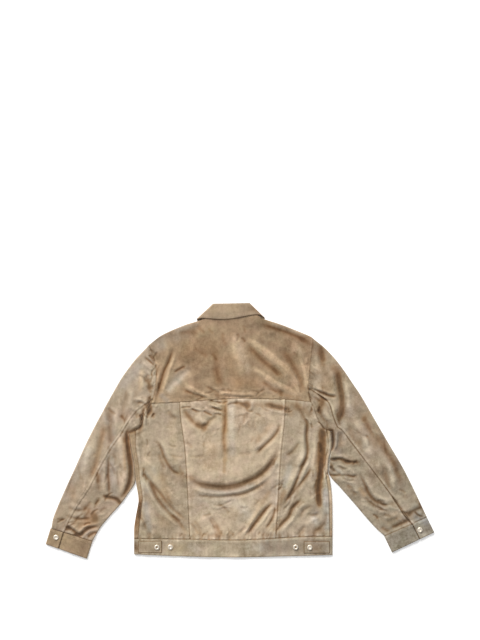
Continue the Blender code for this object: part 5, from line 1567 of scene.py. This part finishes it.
@dataclass
class Wrap:
    """A main side that runs on past the underarm, and a strip round its fold edge that ends there."""

    main: Patch
    strip: Patch
    edge: Line
    main_below: bool
    main_surface: Surface
    strip_surface: Surface
    cell: float
    strip_cell: float
    shoulder: Line | None = None

    def grid(self, v: Array, strip_v: Array, free: Array) -> Grid:
        """The piece as one grid.

        Args:
            v: Shares of the main side's rows.
            strip_v: Shares of the strip's rows.
            free: Which rows end on the armhole, where there is no strip.

        Returns:
            The grid, main side first.
        """
        width = self.main.width(v)
        u = graded(width, self.cell, PLAIN_STEPS if self.main_below else SEAM_STEPS, FOLD_STEPS)
        u = u * (1 - np.where(free, SEAM_INSET / width, 0))[:, None]
        plan = self.main.at(u, v[:, None])
        gap = np.where(free[:, None], FOLD_RADIUS, edge_gaps(plan, self.edge))
        main = self.main_surface.layer(plan, self.main_below)
        if self.shoulder:
            shoulder_gap = edge_gaps(plan, self.shoulder)
            main = main.rounded(np.minimum(gap, shoulder_gap)).raised(-0.3 * (1 - rounding(shoulder_gap)))
        else:
            main = main.rounded(gap)
        steps = SEAM_STEPS[:4] if self.main_below else PLAIN_STEPS
        strip_plan = self.strip.rows_past_fold(strip_v, self.strip_cell, steps, FOLD_STEPS)
        strip = self.strip_surface.layer(strip_plan, not self.main_below).rolled(self.edge)
        whole = Grid.joined(main, strip)
        past_edge = np.arange(whole.plan.shape[1] - 1) >= plan.shape[1] - 1
        return replace(whole, left_out=(free[:-1] | free[1:])[:, None] & past_edge)


@dataclass
class FrontPanel:
    """A front: a strip on the back out to the fold edge, and round it the lower side to the closure."""

    shop: Workshop
    side: Side
    finish: Material
    strip_shading: tuple[Point, ...] = ((-293, 0.0), (0, 0.0))  # height in plan, and painted shade, below 0, or painted highlight

    def build(self) -> None:
        """Builds the front."""
        half = HALVES[self.side]
        closure_x = -self.side.sign * CLOSURE_HALF
        edge, armhole = Line(half.side_edge).between(1, 0), Line(half.armhole).between(1, 0)
        outer = Line(edge.points, armhole.points)
        neck = half.shoulder[0]
        neckline = (neck, (neck[0] * 0.72, FRONT_NECK[1] + 21), FRONT_NECK)
        top = Line(((closure_x, FRONT_NECK[1]), FRONT_NECK), neckline[::-1], half.shoulder)
        waist = WAIST_SEAM.stretch((closure_x, FRONT_WAIST_Y), half.side_edge[-1])
        seam = Line(half.side_seam).between(1, 0)
        main = Patch(waist, top, Line((waist.at(0), (closure_x, FRONT_NECK[1]))), outer)
        strip = Patch(bridge(edge, seam, 0), bridge(edge, seam, 1), edge, seam)
        underarm = (edge.length - CORNER_INSET) / outer.length
        v = in_runs((SEAM_INSET / outer.length, underarm, 1 - FOLD_RADIUS / outer.length), (120, 60))
        v = np.r_[v, 1 - FOLD_RADIUS * (1 - np.sin(BEND[1:])) / outer.length]
        strip_v = np.clip(v / underarm, 0, 1) * (1 - CORNER_INSET / edge.length)
        lower = Surface(lambda places: RELIEF.lower(places, self.side))
        seams = (Seam(seam, False, 0.3, 0.4 if self.side is Side.LEFT else 0.9), Seam(WAIST_SEAM, False))
        stops, tones = zip(*self.strip_shading)
        upper = Surface(
            RELIEF.top, seams, lambda places: RELIEF.shade(places) + np.interp(places[:, 1], stops, tones)
        )
        wrap = Wrap(main, strip, edge, True, lower, upper, 6.0, 2.4, Line(half.shoulder))
        grid = wrap.grid(v, strip_v, v > underarm + 1e-6)
        lay = Lay(f"front_{self.side.value}", "suede", "folded", ("collar_leaf",))
        self.shop.cloth(lay, grid, CLOTH, self.finish)


# ---------------------------------------------------------------- the sleeves


@dataclass
class Sleeve:
    """A two-piece sleeve, flat, with its elbow seam up and its front seam below."""

    shop: Workshop
    side: Side
    finish: Material
    cell: float = 2.2
    turn: float = 0.45
    tip: float = 0.012
    rows: tuple[int, int, int] = (10, 40, 176)

    def __post_init__(self) -> None:
        """Draws the plan lines, each from the armhole to the cuff, and the rows that the two pieces share."""
        half = HALVES[self.side]
        self.armhole = Line(half.armhole).shifted(self.side.sign * 0.05)
        self.outer = Line(half.sleeve_outer)
        side_edge = Line(half.side_edge)
        beside = side_edge.between(0.002, side_edge.share_near(half.sleeve_inner[0]))
        self.inner = Line(beside.shifted(-self.side.sign * 0.12).points, half.sleeve_inner)
        self.cuff = Line(half.cuff_top)
        self.elbow_start = self.armhole.share_near(half.elbow_seam[0])
        self.elbow = Line((self.armhole.at(self.elbow_start), *half.elbow_seam[1:]))
        self.front = Line(half.front_seam)
        self.front_end = self.cuff.share_near(half.front_seam[-1])
        past = self.armhole.between(self.elbow_start, 1)
        self.bound = Line(past.points, self.inner.points)
        reach = past.length / self.bound.length
        stops = [
            (self.armhole.share_near(point) - self.elbow_start) / (1 - self.elbow_start) * reach
            for point in (half.yoke_end, half.side_seam[0])
        ]
        self.underarm = (past.length + CORNER_INSET) / self.bound.length
        stops = (self.tip, *stops, self.underarm, 1 - SEAM_INSET / self.bound.length)
        upper, arm, below = self.rows
        self.v = in_runs(stops, (upper, arm, 1, below))
        self.on_armhole = upper + arm
        corner = CORNER_INSET / self.inner.length
        down = np.clip((self.v - self.underarm) / (1 - self.underarm), 0, 1)
        self.below_v = corner + down * (1 - 1.15 * corner)
        # How deep the elbow seam's groove is, and how much shade is painted along it.
        dark = 0.15 if self.side is Side.LEFT else 1.0
        ends = Seam(self.armhole, False, 0.45, 0.45), Seam(self.cuff, False, 0.5)
        self.outer_surface = cloth_surface(Seam(self.elbow, True, 0.3, dark, 0.9), *ends)
        self.under_surface = cloth_surface(Seam(self.elbow, False, 0.3, dark, 0.8), *ends)

    def outer_piece(self) -> None:
        """The outer sleeve, from the elbow seam round the outer fold edge to the front seam below."""
        share = HALVES[self.side].slit_share
        upper_patch = Patch(
            self.armhole.between(self.elbow_start, 0), self.cuff.between(share, 0), self.elbow, self.outer
        )
        past_turn = self.armhole.between(self.turn, 1)
        bound = Line(past_turn.points, bridge(past_turn, self.front, 1, 0).points, self.front.points)
        lower_patch = Patch(
            self.armhole.between(0, self.turn), self.cuff.between(0, self.front_end), self.outer, bound
        )
        v = np.r_[0, self.v[1:]]
        free = self.on_armhole + 1
        bound_v = (bound.length - (1 - self.below_v) * self.front.length) / bound.length
        bound_v[:free] = np.linspace(0, 1, free) * past_turn.length / bound.length
        upper = self.outer_surface.layer(upper_patch.rows(v, self.cell, SEAM_STEPS, FOLD_STEPS))
        lower = GROUND.layer(lower_patch.rows_past_fold(v, 8.0, PLAIN_STEPS, FOLD_STEPS, bound_v), True)
        grid = Grid.joined(upper.rolled(self.outer), lower.rolled(self.outer))
        lay = Lay(f"sleeve_outer_{self.side.value}", "suede", "folded", (f"sleeve_under_{self.side.value}",))
        self.shop.cloth(lay, grid, CLOTH, self.finish)

    def under_piece(self) -> None:
        """The under sleeve, from the elbow seam to the armhole and, below it, round the inner edge."""
        tip = bridge(self.elbow, self.bound, 0, 0.01)
        main = Patch(tip, self.cuff.between(HALVES[self.side].slit_share, 1), self.elbow, self.bound)
        start = bridge(self.inner, self.front, 0)
        strip = Patch(start, self.cuff.between(1, self.front_end), self.inner, self.front)
        wrap = Wrap(main, strip, self.inner, False, self.under_surface, GROUND, self.cell, 6.0)
        grid = wrap.grid(self.v, self.below_v, self.v < self.underarm - 1e-6)
        lay = Lay(f"sleeve_under_{self.side.value}", "suede", "folded", (f"sleeve_outer_{self.side.value}",))
        self.shop.cloth(lay, grid, CLOTH, self.finish)

    def build(self) -> None:
        """Builds both pieces and the stitching of the elbow seam."""
        self.outer_piece()
        self.under_piece()
        outwards = -self.side.sign
        rows = [stitch_path(self.elbow, self.outer_surface, outwards * aside, 4.0) for aside in TOPSTITCH]
        self.shop.stitches(f"sleeve_stitching_{self.side.value}", rows)


@dataclass
class Cuff:
    """A cuff band: its snap end lies at the slit, over the other end, which goes on beneath it."""

    shop: Workshop
    side: Side
    finish: Material
    # Shade painted along the slit, where the snap end lies over the other end.
    slit_shade: float = 0.8
    tuck: float = 20.0
    dip: float = 9.0

    def build(self) -> None:
        """Builds the cuff and its edge stitching."""
        half = HALVES[self.side]
        share, step, middle = half.slit_share, BAND_CLOTH + 0.4, CUFF_TOP / 2
        top, hem = Line(half.cuff_top), Line(half.cuff_hem)
        outer_edge, inner_edge, slit = (bridge(top, hem, end) for end in (0, 1, share))
        v = graded(outer_edge.length, 3.0, BAND_STEPS, BAND_STEPS)[0]
        snap_patch = Patch(top.between(share, 0), hem.between(share, 0), slit, outer_edge)
        lower_patch = Patch(top, hem, outer_edge, inner_edge)
        inner_patch = Patch(top.between(share, 1), hem.between(share, 1), slit, inner_edge)
        wavy = rippled(CUFF_TOP, 0.8, Seam(top, True, 0.35, 0.9), Seam(hem, True, 0.35, 1.6))
        # The snap end's tone adds painted shade along the slit.
        snap_end = Surface(
            wavy.rule, (*wavy.seams, Seam(slit, True, 0.15, 1.8)),
            lambda places: RELIEF.tone(places) - self.slit_shade * bell(slit.nearest(places)[0], 2.6),
        )
        lower = lower_patch.at(graded(lower_patch.width(v), 6.0, FOLD_STEPS, FOLD_STEPS)[:, 1:-1], v[:, None])
        inner_width = inner_patch.width(v)
        inner_u = graded(inner_width, 3.0, np.array([SEAM_INSET, 3.0, 6.0, self.dip]), FOLD_STEPS)
        inner = inner_patch.at(inner_u[:, ::-1], v[:, None])
        tucked = inner_patch.at(-np.array([[0.3, 1.0]]) * self.tuck / inner_width[:, None], v[:, None])
        sunk = step * (1 - ease(edge_gaps(inner, slit) / self.dip))
        grid = Grid.joined(
            snap_end.layer(snap_patch.rows(v, 3.0, BAND_STEPS, FOLD_STEPS)).rolled(outer_edge, middle=middle),
            GROUND.layer(lower, True).rolled(outer_edge, inner_edge, middle=middle),
            wavy.layer(inner).rolled(inner_edge, middle=middle).raised(-sunk),
            Grid(tucked, np.full(tucked.shape[:2], CUFF_TOP - step - 0.9), np.zeros(tucked.shape[:2])),
        )
        lay = Lay(f"cuff_{self.side.value}", "suede_band", "folded", (f"sleeve_under_{self.side.value}",))
        self.shop.cloth(lay, grid, BAND_CLOTH, self.finish)
        sign = self.side.sign
        rows = [
            stitch_path(line.between(start, end), surface, sign * aside, 1.0)
            for line, aside in ((top, -2.0), (top, -7.0), (hem, 2.4))
            for start, end, surface in ((0.05, share - 0.02, snap_end), (share + 0.1, 0.96, wavy))
        ]
        rows.append(stitch_path(slit, snap_end, -sign * 2.4, 3.0))
        self.shop.stitches(f"cuff_stitching_{self.side.value}", rows, "suede_band")


# ---------------------------------------------------------------- the waistband


@dataclass
class Waistband:
    """The band below the waist seam: a back length, and two front lengths that wrap round the sides."""

    shop: Workshop
    finish: Material
    radius: float = 3.0
    lift: float = BAND_CLOTH + 0.35
    width: float = 45.0
    side_y: Point = (-290.0, -337.0)  # of the waist seam and the hem at the side seams
    hem_middle_y: float = -343.0

    def __post_init__(self) -> None:
        """Draws the band's upper side and the places where its lengths meet."""
        self.surface = rippled(BAND_TOP, 0.8, Seam(WAIST_SEAM, True, 0.6, 0.9), Seam(HEM, True, 0.35, 1.5))
        self.lines = (WAIST_SEAM, HEM)
        self.places = {side: [(half.band_seam_x, y) for y in self.side_y] for side, half in HALVES.items()}

    def back(self) -> None:
        """The back length."""
        waist, hem = (line.stretch(*ends) for line, *ends in zip(self.lines, *self.places.values()))
        patch = Patch(waist, hem, bridge(waist, hem, 0), bridge(waist, hem, 1))
        v = graded(self.width, 2.8, SEAM_STEPS, SEAM_STEPS)[0]
        grid = self.surface.layer(patch.rows(v, 3.0, PLAIN_STEPS, PLAIN_STEPS))
        lay = Lay("waistband_back", "suede_band", "laid", ("waistband_front_left", "waistband_front_right"))
        self.shop.cloth(lay, grid, BAND_CLOTH, self.finish)

    def front(self, side: Side) -> None:
        """A front length, from its seam on the back round the fold edge to the closure below."""
        half = HALVES[side]
        corner = (half.side_edge[-1][0], float(WAIST_SEAM.at(WAIST_SEAM.share_near(half.side_edge[-1]))[1]))
        seam = Line([line.at(line.share_near(place)) for line, place in zip(self.lines, self.places[side])])
        edge = Line((corner, half.hem_corner))
        strip_patch = Patch(bridge(seam, edge, 0), bridge(seam, edge, 1), seam, edge)
        end_x = -side.sign * CLOSURE_HALF
        waist = WAIST_SEAM.stretch(corner, (end_x, FRONT_WAIST_Y))
        hem = HEM.stretch(half.hem_corner, (end_x, self.hem_middle_y))
        lower_patch = Patch(waist, hem, edge, bridge(waist, hem, 1))
        fold = fold_steps(self.radius)
        v = graded(edge.length, 3.0, BAND_STEPS, BAND_STEPS)[0]
        turn = {"middle": BAND_TOP / 2, "radius": self.radius}
        strip = self.surface.layer(strip_patch.rows(v, 2.0, PLAIN_STEPS, fold)).rolled(edge, **turn)
        lower = GROUND.layer(lower_patch.rows_past_fold(v, 6.0, PLAIN_STEPS, fold), True)
        lower = lower.rolled(edge, **turn)
        closure = 0 if side is Side.LEFT else ease((CLOSURE_HALF + 18 - lower.plan[..., 0]) / 16)
        lay = Lay(f"waistband_front_{side.value}", "suede_band", "folded", ("waistband_back",))
        self.shop.cloth(lay, Grid.joined(strip, lower.raised(self.lift * closure)), BAND_CLOTH, self.finish)

    def build(self) -> None:
        """Builds the band and its two rows of edge stitching."""
        self.back()
        for side in Side:
            self.front(side)
        rows = [stitch_path(WAIST_SEAM.between(0.015, 0.985), self.surface, gap, 1.0) for gap in (2.0, 7.0)]
        rows.append(stitch_path(HEM.between(0.015, 0.985), self.surface, -3.0, 1.0))
        self.shop.stitches("waistband_stitching", rows, "suede_band")


@dataclass
class AdjusterTab:
    """A square-ended strap on the waistband, held by a snap."""

    shop: Workshop
    side: Side
    finish: Material

    def build(self) -> None:
        """Builds the strap and the stitching round it."""
        outer_x, inner_x, upper_y, lower_y = HALVES[self.side].tab
        corners = [(outer_x, upper_y), (inner_x, upper_y), (inner_x, lower_y), (outer_x, lower_y)]
        top, bottom = Line((corners[0], corners[1])), Line((corners[3], corners[2]))
        patch = Patch(top, bottom, Line((corners[0], corners[3])), Line((corners[1], corners[2])))
        rim = Line(*zip(corners, corners[1:] + corners[:1]))
        level = BAND_TOP + 0.45 + TAB_WALL

        def rule(places: Array) -> Array:
            """Crowned a little, and rolled over at its rim."""
            gap = rim.nearest(places)[0]
            crown = 0.5 * RELIEF.ripple(places) + 0.5 * ease(gap / 12)
            return level + crown - 0.7 * bell(gap, 0.9) - 0.25 * bell(gap, 0.8, 3.0)

        def tone(places: Array) -> Array:
            """Painted shade at its rolled rim and a painted highlight just inside it, with half the tints and
            a darker tone of its own.
            """
            gap = rim.nearest(places)[0]
            return 0.25 * bell(gap, 2, 4.5) - 1.3 * bell(gap, 1.5) + 0.5 * RELIEF.tone(places) - 0.25

        surface = Surface(rule, (), tone)
        steps = np.array([0.0, 0.4, 1.0, 2.0, 3.0, 4.2])
        v = graded(abs(upper_y - lower_y), 2.5, steps, steps)[0]
        grid = surface.layer(patch.rows(v, 2.5, steps, steps))
        lay = Lay(f"tab_{self.side.value}", "suede_band", "laid", ("waistband_back",))
        self.shop.cloth(lay, grid, TAB_WALL, self.finish)
        inset = 3.0 * np.array([[1, -1], [-1, -1], [-1, 1], [1, 1]])
        if self.side is Side.RIGHT:
            inset[:, 0] *= -1
        inner = [tuple(np.add(corner, step)) for corner, step in zip(corners, inset)]
        rows = [stitch_path(Line((a, b)), surface, 0.0, 0.5) for a, b in zip(inner, inner[1:] + inner[:1])]
        self.shop.stitches(f"tab_stitching_{self.side.value}", rows, "suede_band")


@dataclass
class SnapSet:
    """The ring snap caps."""

    shop: Workshop
    ring: Material
    well: Material
    profile: Profile = (
        (0, 1.9, 1), (0.9, 1.85, 1), (1.4, 1.5, 1), (2.1, 1.45, 1), (2.5, 1.8, 0), (2.9, 2.5, 0),
        (3.6, 2.9, 0),
        (4.8, 3.1, 0), (5.8, 2.95, 0), (6.7, 2.4, 0), (7.2, 1.6, 0), (7.4, 0.8, 0), (7.1, 0.0, 0),
        (0, 0.0, 0),
    )

    def build(self) -> None:
        """Builds all the caps, each on its carrier."""
        for side, half in HALVES.items():
            places = {
                "tab": (half.tab_snap, BAND_TOP + 0.3 + TAB_WALL),
                "band": (half.band_snap, BAND_TOP),
                "cuff": (half.cuff_snap, CUFF_TOP),
            }
            for kind, (place, floor) in places.items():
                pale = kind == "cuff" or (kind, side) in (("band", Side.LEFT), ("tab", Side.RIGHT))
                well = self.ring if pale else self.well
                node = f"{kind}_snap_{side.value}"
                self.shop.lathe(node, self.profile, place, floor + 0.35, (self.ring, well))


# ---------------------------------------------------------------- the collar


@dataclass
class CollarBand:
    """The collar's leaf or its stand, a flattened ring open at the centre front."""

    shop: Workshop
    node: str
    finish: Material
    sides: dict[Side, Line]
    back_fold: Line
    back_end: Line
    front_fold: dict[Side, Line]
    front_end: dict[Side, Line]
    top: float
    bottom: float
    radius: float
    wall: float
    surface: Surface
    rests_on: tuple[str, ...]
    drop: float = 1.2

    def build(self) -> None:
        """Builds the ring as one grid: wing, fold edge, back, fold edge, wing."""
        left, right = self.sides.values()
        v = graded(40.0, 2.6, np.array([0.0, 0.8, 2.0, 4.0]), np.array([0.0, 0.4, 1.0, 2.0, 3.4, 5.4]))[0]
        fold, middle = fold_steps(self.radius), (self.top + self.bottom) / 2
        below = Surface(lambda places: np.full(len(places), self.bottom))
        wings = []
        for side in Side:
            front, end = self.front_fold[side], self.front_end[side]
            patch = Patch(front, end, self.sides[side], bridge(front, end, 1))
            plan = patch.rows_past_fold(v, 4.0, PLAIN_STEPS, fold)[:, :: side.sign]
            wings.append(below.layer(plan, True).rolled(self.sides[side], middle=middle, radius=self.radius))
        plan = Patch(self.back_fold, self.back_end, left, right).rows(v, 2.6, fold, fold)
        gap = edge_gaps(plan, left, right)
        drop = self.drop * rounding(gap, self.radius) * bell(edge_gaps(plan, self.back_fold), 2.0)
        back = self.surface.layer(plan).rounded(gap, middle, self.radius).raised(-drop)
        grid = Grid.joined(wings[0], back, wings[1])
        self.shop.cloth(Lay(self.node, "suede", "folded", self.rests_on), grid, self.wall, self.finish)


@dataclass
class Collar:
    """A folded collar: the stand inside, and the leaf over it."""

    shop: Workshop
    finish: Material
    leaf_top: float = BODY_HEIGHT + 2.4

    def leaf(self) -> None:
        """The leaf and its edge stitching."""
        surface = rippled(self.leaf_top, 0.55, Seam(COLLAR_EDGE, True, 0.12))
        ends = {side: half.collar_side for side, half in HALVES.items()}
        points = {side: half.collar_point for side, half in HALVES.items()}
        CollarBand(
            self.shop, "collar_leaf", self.finish,
            sides={side: Line(ends[side]) for side in Side},
            back_fold=Line((LEFT.collar_side[0], (0, 342), RIGHT.collar_side[0])),
            back_end=COLLAR_EDGE,
            front_fold={
                side: Line((ends[side][0], (side.sign * 34, 296), (side.sign * 1.0, COLLAR_CLOSE_Y)))
                for side in Side
            },
            front_end={
                side: Line((ends[side][1], points[side]), (points[side], (side.sign * 8, 240)))
                for side in Side
            },
            top=self.leaf_top, bottom=0.0, radius=4.0, wall=COLLAR_CLOTH, surface=surface, rests_on=("yoke",),
        ).build()
        rows = [stitch_path(COLLAR_EDGE.between(0.065, 0.89), surface, -6.0, 1.0)]
        self.shop.stitches("collar_stitching", rows)

    def stand(self) -> None:
        """The stand inside the neck."""
        ends = {side: half.stand_side for side, half in HALVES.items()}
        top = BODY_HEIGHT - 0.1
        CollarBand(
            self.shop, "collar_stand", self.finish,
            sides={side: Line(ends[side]) for side in Side},
            back_fold=Line((LEFT.stand_side[0], (0, 339.6), RIGHT.stand_side[0])),
            back_end=Line(
                (LEFT.stand_side[1], (-62, 305.2), (0, 310.0), (45, 314.6), (64, 312.3), RIGHT.stand_side[1])
            ),
            front_fold={
                side: Line((ends[side][0], (side.sign * 33, 295), (side.sign * 1.6, COLLAR_CLOSE_Y)))
                for side in Side
            },
            front_end={
                side: Line((end, (end[0] * 0.72, 261), (side.sign * 1.6, FRONT_NECK[1] + 5)))
                for side, (_, end) in ends.items()
            },
            top=top, bottom=COLLAR_CLOTH + 0.4, radius=2.4, wall=CLOTH,
            surface=Surface(lambda places: np.full(len(places), top)), rests_on=("collar_leaf",),
        ).build()

    def build(self) -> None:
        """Builds both parts."""
        self.leaf()
        self.stand()


# ---------------------------------------------------------------- the studio


@dataclass
class Studio:
    """A pale floor, soft light from the upper left, and a camera straight above."""

    centre: Point = (0.0189, 0.297)
    distance: float = 5.0
    frame_height: float = 1.728
    sun_strength: float = 3.35
    sky: float = 0.38

    def build(self) -> None:
        """Builds the floor, the lights and the camera."""
        self._floor()
        self._light()
        self._camera()

    def _floor(self) -> None:
        """The floor, a little below the cloth."""
        half, level = 4.0, -0.0004
        corners = [(-half, -half, level), (half, -half, level), (half, half, level), (-half, half, level)]
        mesh = bpy.data.meshes.new("floor")
        mesh.from_pydata(corners, [], [(0, 1, 2, 3)])
        floor = bpy.data.objects.new("floor", mesh)
        bpy.context.scene.collection.objects.link(floor)
        mesh.materials.append(Paper().material())

    def _light(self) -> None:
        """A wide sun from the upper left, and an even sky."""
        lamp = bpy.data.lights.new("key", "SUN")
        lamp.energy = self.sun_strength
        lamp.angle = np.radians(40)
        lamp.color = (1.0, 0.985, 0.96)
        key = bpy.data.objects.new("key", lamp)
        bpy.context.scene.collection.objects.link(key)
        towards = Vector((*-LIGHT_PLAN, -0.80))
        key.rotation_euler = towards.to_track_quat("-Z", "Y").to_euler()
        world = bpy.data.worlds.new("studio")
        world.use_nodes = True
        back = world.node_tree.nodes["Background"]
        back.inputs["Color"].default_value = (0.97, 0.985, 1.0, 1)
        back.inputs["Strength"].default_value = self.sky
        bpy.context.scene.world = world

    def _camera(self) -> None:
        """The camera, looking straight down with +Y up the frame."""
        lens = bpy.data.cameras.new("camera")
        lens.sensor_fit = "VERTICAL"
        lens.sensor_height = 36.0
        lens.lens = 36.0 * self.distance / self.frame_height
        lens.clip_end = 50.0
        camera = bpy.data.objects.new("camera", lens)
        camera.location = (*self.centre, self.distance)
        bpy.context.scene.collection.objects.link(camera)
        bpy.context.scene.camera = camera
        bpy.context.scene.view_settings.view_transform = "Standard"


# ---------------------------------------------------------------- the jacket


def write_sizes() -> None:
    """Updates the view layer."""
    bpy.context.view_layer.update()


def main() -> None:
    """Builds the dressed jacket on its frame."""
    logging.basicConfig(level=logging.INFO, format="%(name)s %(message)s")
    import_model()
    shop = Workshop()
    tones = {
        "yoke": Suede("suede_yoke", (161, 137, 111), (165, 141, 115), 0.3, 1.0, 0.8),
        "centre": Suede("suede_centre", (188, 169, 146), (184, 165, 142), 1.1),
        "side_left": Suede("suede_side_left", (175, 159, 138), (171, 154, 132), 2.3),
        "side_right": Suede("suede_side_right", (177, 161, 140), (173, 157, 136), 3.7),
        "front": Suede("suede_front", (172, 150, 124), (168, 146, 120), 4.9),
        # The right sleeve's darker tone than the left's is painted shade, as the light falls from the left.
        "sleeve_left": Suede("suede_sleeve_left", (178, 161, 141), (172, 153, 132), 5.3, 0.8, 1.1),
        "sleeve_right": Suede("suede_sleeve_right", (164, 145, 123), (157, 144, 126), 6.1, 1.1, 1.1),
        "band": Suede("suede_waistband", (174, 159, 137), (174, 159, 137), 7.9, 1.15),
        "cuff_left": Suede("suede_cuff_left", (157, 134, 108), (153, 131, 106), 8.3, 1.0),
        "cuff_right": Suede("suede_cuff_right", (154, 146, 131), (150, 142, 128), 9.1, 1.5),
        "collar": Suede("suede_collar", (165, 144, 121), (165, 144, 121), 9.7, 0.7),
    }
    finishes = {name: finish.material() for name, finish in tones.items()}
    # Painted shade down the left strip beside the gap under the sleeve, and painted highlight down the right
    # strip at its fold edge.
    strip_shading = {
        Side.LEFT: (
            (-293, -0.3), (-262, -0.9), (-225, -1.3), (-192, -1.0), (-170, -0.2), (-150, 0.0), (-60, -0.1),
            (-10, -0.3),
        ),
        Side.RIGHT: ((-287, 0.15), (-140, 1.1), (-80, 2.4), (-24, 2.2), (-8, 0.3)),
    }
    BackPanels(shop, finishes).build()
    for side in Side:
        FrontPanel(shop, side, finishes["front"], strip_shading[side]).build()
        Sleeve(shop, side, finishes[f"sleeve_{side.value}"]).build()
        # The cuffs' last number is the shade painted along the slit.
        Cuff(shop, side, finishes[f"cuff_{side.value}"], 0.7 if side is Side.LEFT else 1.9).build()
        AdjusterTab(shop, side, finishes["band"]).build()
    Waistband(shop, finishes["band"]).build()
    Collar(shop, finishes["collar"]).build()
    SnapSet(shop, SnapMetal().material(), SnapMetal("snap_well", (150, 118, 78), 0.4, 0.7).material()).build()
    Studio().build()
    write_sizes()


if __name__ == "__main__":
    main()
